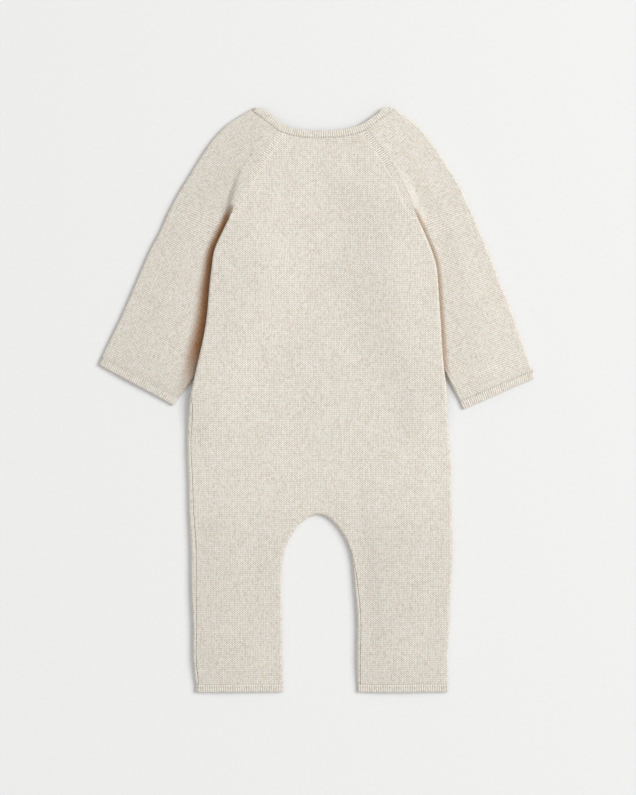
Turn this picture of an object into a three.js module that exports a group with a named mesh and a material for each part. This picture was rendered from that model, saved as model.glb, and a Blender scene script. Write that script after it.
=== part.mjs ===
// Baby romper in fine melange knit, laid flat on its front with its back facing up.
//
// Millimetres. While the pieces are made, X runs across the garment from its centre line, Y runs up
// towards the neck from the level of the two neck peaks, and Z is the height above the surface that
// the garment lies on. In the tables, across is X and down is the distance below the neck peaks.
// The last lines move the whole garment to the middle of its own outline.
//
// Each piece is a sheet of knit: its middle surface is laid out in rows and columns, then given its
// thickness on both sides and closed with a rim along every cut edge.

import * as THREE from 'three';

// Cloth
const WALL = 1.8;            // one layer of the knit
const BAND_WALL = 2.0;       // one layer of the ribbed bands
const SEAM_GAP = 0.3;        // between two pieces along a seam
const RIB_PITCH = 2.1;       // from one rib to the next
const RIB_HEIGHT = 0.5;      // how far a rib stands above its band
const NECKBAND_WIDTH = 6.8;

// How the two layers lie on each other
const BODY_LOFT = 5.2;       // both body layers together at a folded edge
const SLEEVE_LOFT = 4.6;     // both sleeve layers together at a folded edge
const CROWN = 1.7;           // how far the upper layer swells away from the edges
const CROWN_REACH = 24;
const NECK_SAG = 1.5;        // how far the back neck sinks between the two peaks
const NECK_SAG_REACH = 15;
const NECK_SAG_HALF_WIDTH = 55;

// The body lies over the inner part of both sleeves
const ARMPIT_DOWN = 97;      // where the raglan seams meet the folded sides
const TUCK_PLAY = 0.45;      // clearance between the body and a sleeve below it
const TUCK_LIFT = SLEEVE_LOFT + TUCK_PLAY;
const ARMPIT_INSET = 1.0;    // the front panel ends this much earlier where its edge starts to fold
const TUCK_MARGIN = 8;       // the lift stays whole this far past a tucked sleeve
const TUCK_RAMP = 26;        // width of the slope beyond that
const TUCK_STARTS = 45;      // the lift grows between these two levels
const TUCK_FULL = 95;
const WEDGE_WIDTH = 5;       // strip of sleeve that the raglan seam holds up
const TUCK_TROUGH = 12;      // width of the low strip of sleeve beside the body
const DEEPEST_DIP = 0.6;     // a sleeve's upper layer sinks no further than this below its loft

// Grid
const STRIP = 12;            // width of the strip of columns along an edge, around the fold
const STRIP_STEPS = 5;
const LEG_COLUMNS = 5;
const CROTCH_COLUMNS = 4;
const LEG_ROWS = 9;
const LONGEST_ROW = 23;
const BELOW_ARMPIT = 4;      // the panels have one more row this far below the armpits
const CLOSEST_ROW = 4;
const SLEEVE_TOP_COLUMNS = 8;
const SLEEVE_UNDER_COLUMNS = 4;
const FOLD_STEPS = 6;
const UPRIGHT_RIM = 1;       // flat cloth this close to a fold or a seam has an upright rim
const BAND_UNDER_STEP = 14;
const NECK_LINE_STEPS = 24;
const NECKBAND_UNDER_STEPS = 40;

// The body's two side lines, a row for each section. left and right are measured from the centre
// line. The seam columns say where the side seam lies along the cloth, from the folded edge: above 0
// it is on top, below 0 it is underneath. Down to the armpits the side lines are the raglan seams.
const BODY_SIDES = [
  { down: 20.5, left: 39.5, right: 43.0, seamLeft: 0.0, seamRight: 0.0 },
  { down: 45.0, left: 54.5, right: 60.5, seamLeft: 0.0, seamRight: 0.0 },
  { down: 61.5, left: 65.0, right: 70.0, seamLeft: 0.0, seamRight: 0.0 },
  { down: 74.5, left: 72.0, right: 77.0, seamLeft: 0.0, seamRight: 0.0 },
  { down: 88.5, left: 79.0, right: 83.0, seamLeft: -2.0, seamRight: -2.0 },
  { down: 97.0, left: 82.5, right: 86.5, seamLeft: -3.0, seamRight: -3.0 },
  { down: 110.5, left: 90.0, right: 92.5, seamLeft: -3.0, seamRight: -3.0 },
  { down: 131.5, left: 98.0, right: 101.0, seamLeft: -3.0, seamRight: -3.0 },
  { down: 150.0, left: 101.0, right: 106.5, seamLeft: -3.0, seamRight: -3.0 },
  { down: 193.0, left: 104.0, right: 109.5, seamLeft: -3.0, seamRight: -3.0 },
  { down: 223.5, left: 109.5, right: 112.0, seamLeft: -3.0, seamRight: -3.0 },
  { down: 254.0, left: 115.5, right: 115.0, seamLeft: -3.0, seamRight: -3.0 },
  { down: 265.0, left: 119.5, right: 116.0, seamLeft: 0.5, seamRight: -3.0 },
  { down: 284.5, left: 121.5, right: 116.5, seamLeft: 3.7, seamRight: -3.0 },
  { down: 315.5, left: 123.0, right: 119.0, seamLeft: 3.5, seamRight: -3.0 },
  { down: 361.5, left: 122.0, right: 120.5, seamLeft: 4.3, seamRight: -3.0 },
  { down: 417.0, left: 120.0, right: 121.0, seamLeft: 5.3, seamRight: -3.0 },
  { down: 472.0, left: 118.5, right: 118.0, seamLeft: 4.0, seamRight: -3.0 },
  { down: 505.0, left: 118.0, right: 117.0, seamLeft: 3.2, seamRight: -3.0 },
  { down: 532.0, left: 116.0, right: 117.5, seamLeft: 3.0, seamRight: -3.0 },
];

// The inner edge of both legs, from the left hem over the crotch to the right hem.
const INSEAM = [
  { across: -35.0, down: 532.0, seam: -3.0 },
  { across: -36.0, down: 472.0, seam: -3.0 },
  { across: -36.5, down: 430.5, seam: -3.0 },
  { across: -34.0, down: 407.5, seam: -3.0 },
  { across: -27.0, down: 393.0, seam: -2.5 },
  { across: -17.5, down: 381.5, seam: -2.0 },
  { across: -3.0, down: 374.5, seam: -1.5 },
  { across: 9.0, down: 379.5, seam: -1.0 },
  { across: 20.0, down: 393.0, seam: 0.0 },
  { across: 27.0, down: 410.5, seam: 1.5 },
  { across: 30.0, down: 430.5, seam: 2.6 },
  { across: 33.0, down: 472.0, seam: 3.4 },
  { across: 33.5, down: 532.0, seam: 3.0 },
];
const CROTCH_FROM = 0.43;    // part of the inseam, by length, that belongs to the crotch
const CROTCH_TO = 0.56;
const CROTCH_SIDE_DOWN = 366;
const LAST_TORSO_DOWN = 346;
const HEM_DOWN = 532;
const HEM_DEPTH = 6.5;

// Stations down each sleeve. over is a point of the folded edge over the arm. Down to the armpit
// the other end lies on the raglan seam, at the level raglanDown. Below it, under is a point of the
// armhole edge, hidden below the body, and then of the folded edge under the arm.
const SLEEVE_LEFT = [
  { overAcross: -64.5, overDown: 2.0, raglanDown: 20.5 },
  { overAcross: -78.0, overDown: 10.5, raglanDown: 32.8 },
  { overAcross: -89.0, overDown: 18.5, raglanDown: 45.0 },
  { overAcross: -102.0, overDown: 33.0, raglanDown: 61.5 },
  { overAcross: -112.5, overDown: 48.0, raglanDown: 74.5 },
  { overAcross: -122.5, overDown: 64.0, raglanDown: 88.5 },
  { overAcross: -129.0, overDown: 74.5, raglanDown: 97.0 },
  { overAcross: -134.0, overDown: 84.0, underAcross: -89.0, underDown: 104.0, folded: false },
  { overAcross: -141.0, overDown: 98.0, underAcross: -81.0, underDown: 127.0, folded: false },
  { overAcross: -147.0, overDown: 112.0, underAcross: -72.0, underDown: 154.5, folded: true },
  { overAcross: -157.5, overDown: 131.5, underAcross: -81.0, underDown: 175.5, folded: true },
  { overAcross: -168.5, overDown: 157.5, underAcross: -93.5, underDown: 200.5, folded: true },
  { overAcross: -180.0, overDown: 183.0, underAcross: -106.5, underDown: 225.5, folded: true },
  { overAcross: -192.0, overDown: 208.5, underAcross: -120.0, underDown: 250.0, folded: true },
  { overAcross: -202.0, overDown: 230.0, underAcross: -134.0, underDown: 268.5, folded: true },
];
const CUFF_LEFT = { overAcross: -205.0, overDown: 236.5, underAcross: -138.0, underDown: 275.0 };
const SLEEVE_RIGHT = [
  { overAcross: 67.5, overDown: 2.0, raglanDown: 20.5 },
  { overAcross: 80.0, overDown: 10.0, raglanDown: 32.8 },
  { overAcross: 90.0, overDown: 18.5, raglanDown: 45.0 },
  { overAcross: 102.0, overDown: 32.5, raglanDown: 61.5 },
  { overAcross: 112.5, overDown: 48.5, raglanDown: 74.5 },
  { overAcross: 124.0, overDown: 66.0, raglanDown: 88.5 },
  { overAcross: 132.0, overDown: 80.5, raglanDown: 97.0 },
  { overAcross: 136.0, overDown: 89.0, underAcross: 92.5, underDown: 104.0, folded: false },
  { overAcross: 142.0, overDown: 103.0, underAcross: 83.5, underDown: 127.0, folded: false },
  { overAcross: 150.5, overDown: 124.0, underAcross: 74.5, underDown: 154.5, folded: true },
  { overAcross: 159.5, overDown: 147.0, underAcross: 83.5, underDown: 177.5, folded: true },
  { overAcross: 168.5, overDown: 170.0, underAcross: 93.5, underDown: 200.5, folded: true },
  { overAcross: 177.0, overDown: 194.0, underAcross: 104.5, underDown: 223.5, folded: true },
  { overAcross: 185.5, overDown: 217.5, underAcross: 115.5, underDown: 246.5, folded: true },
  { overAcross: 196.0, overDown: 243.0, underAcross: 128.0, underDown: 271.0, folded: true },
];
const CUFF_RIGHT = { overAcross: 196.5, overDown: 250.0, underAcross: 131.0, underDown: 278.0 };
const FRONT_RAGLAN_JOIN = 45;     // below this level both layers end alike along the raglan seams
const SLEEVE_SEAM_LEFT = -2.6;    // the underarm seams, placed as the side seams are
const SLEEVE_SEAM_RIGHT = 3.6;

// The neck. A line between the raglan seams sinks by depth in its middle.
const BACK_NECK = { down: 20.5, depth: 7.5, power: 2.6, fades: 30 };
const FRONT_NECK = { down: 35.8, depth: 20, power: 2.4, fades: 48 };
const NECK_PEAKS = {
  left: { seamAcross: -61.0, seamDown: 4.5, edgeAcross: -54.6, edgeDown: 2.6 },
  right: { seamAcross: 64.0, seamDown: 4.5, edgeAcross: 57.6, edgeDown: 2.6 },
};
const PEAK_TURN = 12;        // length over which the neckband turns towards its peak

// Soft folds pressed into the upper layer, a row for each.
const BODY_FOLDS = [
  { fromAcross: -51, fromDown: 62, toAcross: -53, toDown: 96, depth: 0.7, width: 5 },
  { fromAcross: 57, fromDown: 58, toAcross: 62, toDown: 92, depth: 0.7, width: 6 },
  { fromAcross: 33, fromDown: 350, toAcross: 39, toDown: 400, depth: 0.9, width: 7 },
  { fromAcross: 39, fromDown: 400, toAcross: 46, toDown: 490, depth: 0.8, width: 8 },
  { fromAcross: -62, fromDown: 380, toAcross: -70, toDown: 470, depth: 0.5, width: 10 },
];
const SLEEVE_FOLDS = [
  { fromAcross: -77, fromDown: 48, toAcross: -81, toDown: 74, depth: 1.6, width: 4.5 },
  { fromAcross: -81, fromDown: 74, toAcross: -88.5, toDown: 100, depth: 3.0, width: 4.5 },
  { fromAcross: 110, fromDown: 68, toAcross: 112, toDown: 140, depth: 0.9, width: 10 },
];

const KNIT_COLOUR = '#dcd4c6';
const BAND_COLOUR = '#d8cfc0';

function mix(from, to, part) {
  return from + (to - from) * part;
}

function smoothStep(part) {
  const held = Math.min(Math.max(part, 0), 1);
  return held * held * (3 - 2 * held);
}

function bell(distance, width) {
  return Math.exp(-((distance / width) ** 2));
}

// A smooth function of the key column through one column of a table.
function smoothColumn(table, key, column) {
  const slopes = table.map((row, index) => {
    const before = table[Math.max(index - 1, 0)];
    const after = table[Math.min(index + 1, table.length - 1)];
    return (after[column] - before[column]) / (after[key] - before[key]);
  });
  return (value) => {
    let index = 0;
    while (index < table.length - 2 && value > table[index + 1][key]) {
      index += 1;
    }
    const low = table[index];
    const high = table[index + 1];
    const span = high[key] - low[key];
    const s = (value - low[key]) / span;
    const bend = slopes[index] * s * (1 - s) ** 2 - slopes[index + 1] * s * s * (1 - s);
    return mix(low[column], high[column], s * s * (3 - 2 * s)) + span * bend;
  };
}

const bodyLeft = smoothColumn(BODY_SIDES, 'down', 'left');
const bodyRight = smoothColumn(BODY_SIDES, 'down', 'right');
const seamLeft = smoothColumn(BODY_SIDES, 'down', 'seamLeft');
const seamRight = smoothColumn(BODY_SIDES, 'down', 'seamRight');

function planPoint(across, down) {
  return new THREE.Vector2(across, -down);
}

function leftSide(down) {
  return planPoint(-bodyLeft(down), down);
}

function rightSide(down) {
  return planPoint(bodyRight(down), down);
}

function lineOf(side, from, to, steps) {
  return Array.from({ length: steps + 1 }, (_, i) => side(mix(from, to, i / steps)));
}

function distanceToSegment(point, from, to) {
  const along = to.clone().sub(from);
  const offset = point.clone().sub(from);
  const part = Math.min(Math.max(offset.dot(along) / along.lengthSq(), 0), 1);
  return offset.sub(along.multiplyScalar(part)).length();
}

function distanceToLine(point, line) {
  let nearest = Infinity;
  for (let i = 1; i < line.length; i += 1) {
    nearest = Math.min(nearest, distanceToSegment(point, line[i - 1], line[i]));
  }
  return nearest;
}

function isInside(point, outline) {
  let inside = false;
  for (let i = 0; i < outline.length; i += 1) {
    const a = outline[i];
    const b = outline[(i + 1) % outline.length];
    if ((a.y > point.y) !== (b.y > point.y)) {
      const crossing = a.x + ((point.y - a.y) / (b.y - a.y)) * (b.x - a.x);
      if (point.x < crossing) {
        inside = !inside;
      }
    }
  }
  return inside;
}

function stationEnds(row, side) {
  const over = planPoint(row.overAcross, row.overDown);
  if (row.raglanDown === undefined) {
    return { over, under: planPoint(row.underAcross, row.underDown) };
  }
  return { over, under: side(row.raglanDown) };
}

const SIDES = {
  left: {
    name: 'left',
    edge: leftSide,
    stations: SLEEVE_LEFT,
    cuff: CUFF_LEFT,
    seam: SLEEVE_SEAM_LEFT,
  },
  right: {
    name: 'right',
    edge: rightSide,
    stations: SLEEVE_RIGHT,
    cuff: CUFF_RIGHT,
    seam: SLEEVE_SEAM_RIGHT,
  },
};
for (const side of Object.values(SIDES)) {
  const ends = side.stations.map((row) => stationEnds(row, side.edge));
  side.overLine = ends.map((end) => end.over);
  side.underLine = ends.filter((_, i) => side.stations[i].folded).map((end) => end.under);
  side.outline = [...side.overLine, ...ends.map((end) => end.under).reverse()];
  side.raglanLine = lineOf(side.edge, BACK_NECK.down, ARMPIT_DOWN, 8);
  side.foldLine = lineOf(side.edge, ARMPIT_DOWN, HEM_DOWN, 20);
}

const inseamCurve = new THREE.SplineCurve(INSEAM.map((row) => planPoint(row.across, row.down)));
inseamCurve.arcLengthDivisions = 400;
const inseamLine = inseamCurve.getSpacedPoints(40);
const EDGE_LINES = [
  SIDES.left.foldLine,
  SIDES.right.foldLine,
  SIDES.left.overLine,
  SIDES.right.overLine,
  inseamLine,
];

function crownAt(point, lines) {
  const distance = Math.min(...lines.map((line) => distanceToLine(point, line)));
  return CROWN * (1 - bell(distance, CROWN_REACH));
}

function foldsAt(point, folds) {
  let depth = 0;
  for (const fold of folds) {
    const from = planPoint(fold.fromAcross, fold.fromDown);
    const to = planPoint(fold.toAcross, fold.toDown);
    depth = Math.max(depth, fold.depth * bell(distanceToSegment(point, from, to), fold.width));
  }
  return depth;
}

// How far the tucked sleeves lift the underside of the body.
function bodyLift(point) {
  let lift = 0;
  for (const side of Object.values(SIDES)) {
    const distance = isInside(point, side.outline) ? 0 : distanceToLine(point, side.outline);
    lift = Math.max(lift, TUCK_LIFT * smoothStep(1 - (distance - TUCK_MARGIN) / TUCK_RAMP));
  }
  return lift * smoothStep((-point.y - TUCK_STARTS) / (TUCK_FULL - TUCK_STARTS));
}

function neckSag(point) {
  const middle = Math.max(1 - (point.x / NECK_SAG_HALF_WIDTH) ** 2, 0);
  const below = Math.max(-point.y - BACK_NECK.down - BACK_NECK.depth * middle, 0);
  return NECK_SAG * middle * bell(below, NECK_SAG_REACH);
}

const body = {
  loft: BODY_LOFT,
  bottom: bodyLift,
  top: (point) => {
    const folds = foldsAt(point, BODY_FOLDS);
    return bodyLift(point) + BODY_LOFT + crownAt(point, EDGE_LINES) - folds - neckSag(point);
  },
};

// The sleeve's upper layer meets the back panel's height along the raglan seam, and lies low beside
// the body's folded side and below it.
function sleeveHeights(side) {
  const lines = [side.overLine, side.foldLine, side.underLine];
  return {
    loft: SLEEVE_LOFT,
    bottom: () => 0,
    top: (point) => {
      const besideBody = Math.abs(point.x) - Math.abs(side.edge(-point.y).x);
      const clear = -point.y < ARMPIT_DOWN ? 1 : smoothStep(besideBody / TUCK_TROUGH);
      const swell = Math.max(crownAt(point, lines) - foldsAt(point, SLEEVE_FOLDS), -DEEPEST_DIP);
      const plain = SLEEVE_LOFT + swell * clear;
      const held = bell(distanceToLine(point, side.raglanLine), WEDGE_WIDTH);
      return mix(plain, body.top(point), held);
    },
  };
}

// An end of a row: where the cloth folds round to the other layer, or is cut along a seam.
function rowEnd(edge, outward, folded, layers, wall = WALL) {
  const radius = (layers.loft - wall) / 2;
  const inset = folded ? radius + wall / 2 : SEAM_GAP / 2;
  const base = edge.clone().addScaledVector(outward, -inset);
  return { base, outward, radius, quarter: (radius * Math.PI) / 2, layers, wall };
}

// The point of the middle surface at a distance round the fold, above 0 on the upper layer.
function foldPoint(end, distance) {
  const { base, outward, radius, quarter, layers, wall } = end;
  const over = Math.abs(distance) - quarter;
  if (over >= 0) {
    const plan = base.clone().addScaledVector(outward, -over);
    const z = distance > 0 ? layers.top(plan) - wall / 2 : layers.bottom(plan) + wall / 2;
    const flat = new THREE.Vector3(plan.x, plan.y, z);
    if (over < UPRIGHT_RIM) {
      flat.facing = new THREE.Vector3(0, 0, Math.sign(distance));
    }
    return flat;
  }
  const angle = distance / radius;
  const plan = base.clone().addScaledVector(outward, radius * Math.cos(angle));
  const middle = layers.bottom(base) + layers.loft / 2;
  const point = new THREE.Vector3(plan.x, plan.y, middle + radius * Math.sin(angle));
  const across = Math.cos(angle);
  point.facing = new THREE.Vector3(outward.x * across, outward.y * across, Math.sin(angle));
  return point;
}

// Distances from the inner side of a strip to where the piece ends, closest together on the fold.
function stripStops(end, upper, stop) {
  const sign = upper ? 1 : -1;
  const turns = stop * sign < end.quarter;
  const second = turns ? sign * end.quarter : mix(sign * STRIP, stop, 1 / STRIP_STEPS);
  const stops = [sign * STRIP];
  for (let i = 0; i < STRIP_STEPS; i += 1) {
    stops.push(mix(second, stop, i / (STRIP_STEPS - 1)));
  }
  return stops;
}

function strip(end, upper, stop) {
  return stripStops(end, upper, stop).map((distance) => foldPoint(end, distance));
}

function layerPoint(plan, layers, upper, wall = WALL) {
  const z = upper ? layers.top(plan) - wall / 2 : layers.bottom(plan) + wall / 2;
  return new THREE.Vector3(plan.x, plan.y, z);
}

// The flat part of a row, between the inner sides of its two strips, both left out.
function core(from, to, parts, layers, upper, bow = () => 0) {
  return parts.map((part) => {
    const plan = new THREE.Vector2(mix(from.x, to.x, part), mix(from.y, to.y, part) - bow(part));
    return layerPoint(plan, layers, upper);
  });
}

// The middle surface of a piece, as four-sided faces on shared points.
class Sheet {
  constructor() {
    this.points = [];
    this.raised = [];
    this.faces = [];
    this.known = new Map();
  }

  add(point, raised = 0) {
    const key = [point.x, point.y, point.z].map((value) => value.toFixed(3)).join(' ');
    if (!this.known.has(key)) {
      this.known.set(key, this.points.length);
      this.points.push(point);
      this.raised.push(raised);
    }
    return this.known.get(key);
  }

  // Rows of points, with the outside up where rows run down and columns run to the right.
  addRows(rows, { flip = false, raised = () => 0 } = {}) {
    const ids = rows.map((row, r) => row.map((point, c) => this.add(point, raised(r, c))));
    for (let r = 1; r < ids.length; r += 1) {
      for (let c = 1; c < ids[r].length; c += 1) {
        const face = [ids[r - 1][c - 1], ids[r][c - 1], ids[r][c], ids[r - 1][c]];
        this.faces.push(flip ? face.reverse() : face);
      }
    }
    return this;
  }

  normals() {
    const sums = this.points.map(() => new THREE.Vector3());
    for (const face of this.faces) {
      const [a, b, c, d] = face.map((id) => this.points[id]);
      const normal = c.clone().sub(a).cross(d.clone().sub(b));
      face.forEach((id) => sums[id].add(normal));
    }
    return sums.map((sum, i) => this.points[i].facing ?? sum.normalize());
  }

  geometry(wall) {
    const normals = this.normals();
    const moved = (distances) => this.points.map((point, i) => {
      return point.clone().addScaledVector(normals[i], distances[i]);
    });
    const outer = moved(this.raised.map((raised) => wall / 2 + raised));
    const inner = moved(this.raised.map(() => -wall / 2));
    const shift = this.points.length;
    const index = [];
    const quad = (a, b, c, d) => index.push(a, b, c, a, c, d);
    const edges = new Set(this.faces.flatMap((f) => f.map((id, i) => `${id} ${f[(i + 1) % 4]}`)));
    for (const face of this.faces) {
      const [a, b, c, d] = face;
      quad(a, b, c, d);
      quad(d + shift, c + shift, b + shift, a + shift);
      face.forEach((id, i) => {
        const next = face[(i + 1) % 4];
        if (!edges.has(`${next} ${id}`)) {
          quad(id + shift, next + shift, next, id);
        }
      });
    }
    const geometry = new THREE.BufferGeometry().setFromPoints([...outer, ...inner]);
    geometry.setIndex(index);
    geometry.computeVertexNormals();
    return geometry;
  }
}

const LEFTWARD = new THREE.Vector2(-1, 0);
const RIGHTWARD = new THREE.Vector2(1, 0);

// Levels of the torso's rows: those of the table, with more between where they are far apart.
function torsoLevels(first) {
  const marks = BODY_SIDES.map((row) => row.down);
  const between = marks.filter((down) => down > first + CLOSEST_ROW && down < LAST_TORSO_DOWN);
  const stops = [first, ...between, ARMPIT_DOWN + BELOW_ARMPIT, LAST_TORSO_DOWN].sort((a, b) => a - b);
  const levels = [first];
  for (let i = 1; i < stops.length; i += 1) {
    const steps = Math.ceil((stops[i] - stops[i - 1]) / LONGEST_ROW);
    for (let s = 1; s <= steps; s += 1) {
      levels.push(mix(stops[i - 1], stops[i], s / steps));
    }
  }
  return levels;
}

function inseamEnd(part, layers, wall) {
  const along = inseamCurve.getTangentAt(part);
  const outward = new THREE.Vector2(along.y, -along.x);
  return rowEnd(inseamCurve.getPointAt(part), outward, true, layers, wall);
}

const inseamSeam = (() => {
  const lengths = [0];
  for (let i = 1; i < INSEAM.length; i += 1) {
    const a = INSEAM[i - 1];
    const b = INSEAM[i];
    lengths.push(lengths[i - 1] + Math.hypot(b.across - a.across, b.down - a.down));
  }
  const total = lengths[lengths.length - 1];
  const rows = INSEAM.map((row, i) => ({ part: lengths[i] / total, seam: row.seam }));
  return smoothColumn(rows, 'part', 'seam');
})();

// The back and front panels: torso rows from side to side, then a fan of rows down each leg, and a
// strip along the crotch between them.
function bodyPanel(upper, neck) {
  const gap = upper ? SEAM_GAP / 2 : -SEAM_GAP / 2;
  const layers = body;
  const sheet = new Sheet();
  const sideStrip = (edge, outward, down, seam) => {
    const folded = down > ARMPIT_DOWN;
    const end = rowEnd(edge, outward, folded, layers);
    const cut = upper ? end.quarter : -end.quarter - (down === ARMPIT_DOWN ? ARMPIT_INSET : 0);
    return strip(end, upper, folded ? seam(down) + gap : cut);
  };
  const leftStrip = (down) => sideStrip(leftSide(down), LEFTWARD, down, seamLeft);
  const rightStrip = (down) => sideStrip(rightSide(down), RIGHTWARD, down, seamRight);
  const inseamStrip = (part) => strip(inseamEnd(part, layers), upper, inseamSeam(part) + gap);
  const steps = (count) => Array.from({ length: count + 1 }, (_, i) => i / count);

  const legRow = (side, stripAt, part, row) => {
    const down = mix(CROTCH_SIDE_DOWN, HEM_DOWN - SEAM_GAP / 2, row / LEG_ROWS);
    const outer = stripAt(down);
    const inner = inseamStrip(part);
    const flat = core(outer[0], inner[0], steps(LEG_COLUMNS).slice(1, -1), layers, upper);
    const points = [...outer.slice().reverse(), ...flat, ...inner];
    return side === 'left' ? points : points.reverse();
  };
  const hemInset = SEAM_GAP / 2 / inseamCurve.getLength();
  const leftLeg = steps(LEG_ROWS).map((s, row) => {
    return legRow('left', leftStrip, mix(CROTCH_FROM, hemInset, s), row);
  });
  const rightLeg = steps(LEG_ROWS).map((s, row) => {
    return legRow('right', rightStrip, mix(CROTCH_TO, 1 - hemInset, s), row);
  });
  const crotchStrips = steps(CROTCH_COLUMNS).map((s) => inseamStrip(mix(CROTCH_FROM, CROTCH_TO, s)));

  const stripCount = crotchStrips[0].length;
  const crotchRow = [
    ...leftLeg[0].slice(0, -stripCount),
    ...crotchStrips.map((points) => points[0]),
    ...rightLeg[0].slice(stripCount),
  ];
  const flatRow = crotchRow.slice(stripCount - 1, crotchRow.length - stripCount + 1);
  const first = flatRow[0].x;
  const last = flatRow[flatRow.length - 1].x;
  const parts = flatRow.map((point) => (point.x - first) / (last - first)).slice(1, -1);

  const torso = torsoLevels(neck.down + SEAM_GAP / 2).map((down) => {
    const left = leftStrip(down);
    const right = rightStrip(down);
    const sink = neck.depth * Math.max(1 - (down - neck.down) / neck.fades, 0);
    const bow = (part) => sink * (1 - Math.abs(2 * part - 1) ** neck.power);
    const spread = (points) => points.map((point) => {
      const part = (point.x - left[STRIP_STEPS].x) / (right[STRIP_STEPS].x - left[STRIP_STEPS].x);
      return layerPoint(new THREE.Vector2(point.x, point.y - bow(part)), layers, upper);
    });
    const lower = (points) => (sink > 0 ? spread(points) : points);
    const flat = core(left[0], right[0], parts, layers, upper);
    return [...lower(left.slice().reverse()), ...lower(flat), ...lower(right)];
  });

  sheet.addRows([...torso, crotchRow], { flip: !upper });
  sheet.addRows(leftLeg, { flip: !upper });
  sheet.addRows(rightLeg, { flip: !upper });
  const crotchRows = crotchStrips[0].map((_, i) => crotchStrips.map((points) => points[i]));
  sheet.addRows(crotchRows, { flip: !upper });
  return sheet.geometry(WALL);
}

// Where the lower layer ends along the raglan seam: its neck edge starts further down.
function frontRaglanDown(down) {
  const part = (down - BACK_NECK.down) / (FRONT_RAGLAN_JOIN - BACK_NECK.down);
  return mix(FRONT_NECK.down, FRONT_RAGLAN_JOIN, part);
}

// A sleeve: one piece of knit folded over the arm, with its ends meeting at the underarm seam.
function sleeve(side) {
  const layers = sleeveHeights(side);
  const sign = side.name === 'left' ? 1 : -1;
  const rows = side.stations.map((row, index) => {
    const { over, under } = stationEnds(row, side.edge);
    const across = under.clone().sub(over).normalize();
    const folded = row.folded === true;
    const upperEnd = rowEnd(under, across, folded, layers);
    const endsEarly = row.raglanDown < FRONT_RAGLAN_JOIN;
    const lowerUnder = endsEarly ? side.edge(frontRaglanDown(row.raglanDown)) : under;
    const lowerAcross = lowerUnder.clone().sub(over).normalize();
    const lowerEnd = rowEnd(lowerUnder, lowerAcross, folded, layers);
    const overPoint = (distance) => {
      const inward = across.clone().lerp(lowerAcross, (1 - distance / STRIP) / 2).normalize();
      return foldPoint(rowEnd(over, inward.negate(), true, layers), distance);
    };
    const overQuarter = upperEnd.quarter;
    const upperStop = folded ? side.seam + SEAM_GAP / 2 : upperEnd.quarter;
    const lowerStop = folded ? side.seam - SEAM_GAP / 2 : -lowerEnd.quarter;
    const upperStrip = strip(upperEnd, true, upperStop).reverse();
    const lowerStrip = strip(lowerEnd, false, lowerStop);
    const turn = [overPoint(STRIP)];
    for (let i = 0; i <= FOLD_STEPS; i += 1) {
      turn.push(overPoint(mix(overQuarter, -overQuarter, i / FOLD_STEPS)));
    }
    turn.push(overPoint(-STRIP));
    const parts = (count) => Array.from({ length: count - 1 }, (_, i) => (i + 1) / count);
    const topCore = core(upperStrip[STRIP_STEPS], turn[0], parts(SLEEVE_TOP_COLUMNS), layers, true);
    const turnEnd = turn[turn.length - 1];
    const underCore = core(turnEnd, lowerStrip[0], parts(SLEEVE_UNDER_COLUMNS), layers, false);
    const points = [...upperStrip, ...topCore, ...turn, ...underCore, ...lowerStrip];
    const shift = index === 0 ? SEAM_GAP / 2 : 0;
    points.forEach((point) => point.add(new THREE.Vector3(-sign * shift, -shift, 0)));
    return points;
  });
  return new Sheet().addRows(rows, { flip: side.name === 'left' }).geometry(WALL);
}

// Once round a flattened tube, from one folded end over the top to the other and back below.
function loop(endA, endB, layers, ribs) {
  const topSteps = ribs * 2;
  const width = endA.base.distanceTo(endB.base);
  const underSteps = Math.ceil(width / BAND_UNDER_STEP);
  const onLayer = (part, upper) => {
    return layerPoint(endA.base.clone().lerp(endB.base, part), layers, upper, BAND_WALL);
  };
  const turn = (end, from) => Array.from({ length: FOLD_STEPS - 1 }, (_, i) => {
    return foldPoint(end, mix(from * end.quarter, -from * end.quarter, (i + 1) / FOLD_STEPS));
  });
  return [
    ...Array.from({ length: topSteps + 1 }, (_, i) => onLayer(i / topSteps, true)),
    ...turn(endB, 1),
    ...Array.from({ length: underSteps + 1 }, (_, i) => onLayer(1 - i / underSteps, false)),
    ...turn(endA, -1),
  ];
}

// A ribbed band between two loops round the same tube. The ribs stand on its upper side.
function ribBand(inner, outer, ribs, flip) {
  const raised = (_, column) => (column % 2 === 1 && column < ribs * 2 ? RIB_HEIGHT : 0);
  const rows = [inner, outer].map((points) => [...points, points[0]]);
  return new Sheet().addRows(rows, { flip, raised }).geometry(BAND_WALL);
}

function cuff(side) {
  const layers = sleeveHeights(side);
  const last = stationEnds(side.stations[side.stations.length - 1], side.edge);
  const free = stationEnds(side.cuff, side.edge);
  const ribs = Math.round(last.over.distanceTo(last.under) / RIB_PITCH);
  const loopAt = (part) => {
    const over = last.over.clone().lerp(free.over, part);
    const under = last.under.clone().lerp(free.under, part);
    const across = under.clone().sub(over).normalize();
    const overEnd = rowEnd(over, across.clone().negate(), true, layers, BAND_WALL);
    const underEnd = rowEnd(under, across, true, layers, BAND_WALL);
    return loop(overEnd, underEnd, layers, ribs);
  };
  const gap = SEAM_GAP / last.over.distanceTo(free.over);
  return ribBand(loopAt(gap), loopAt(1), ribs, side.name === 'right');
}

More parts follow.
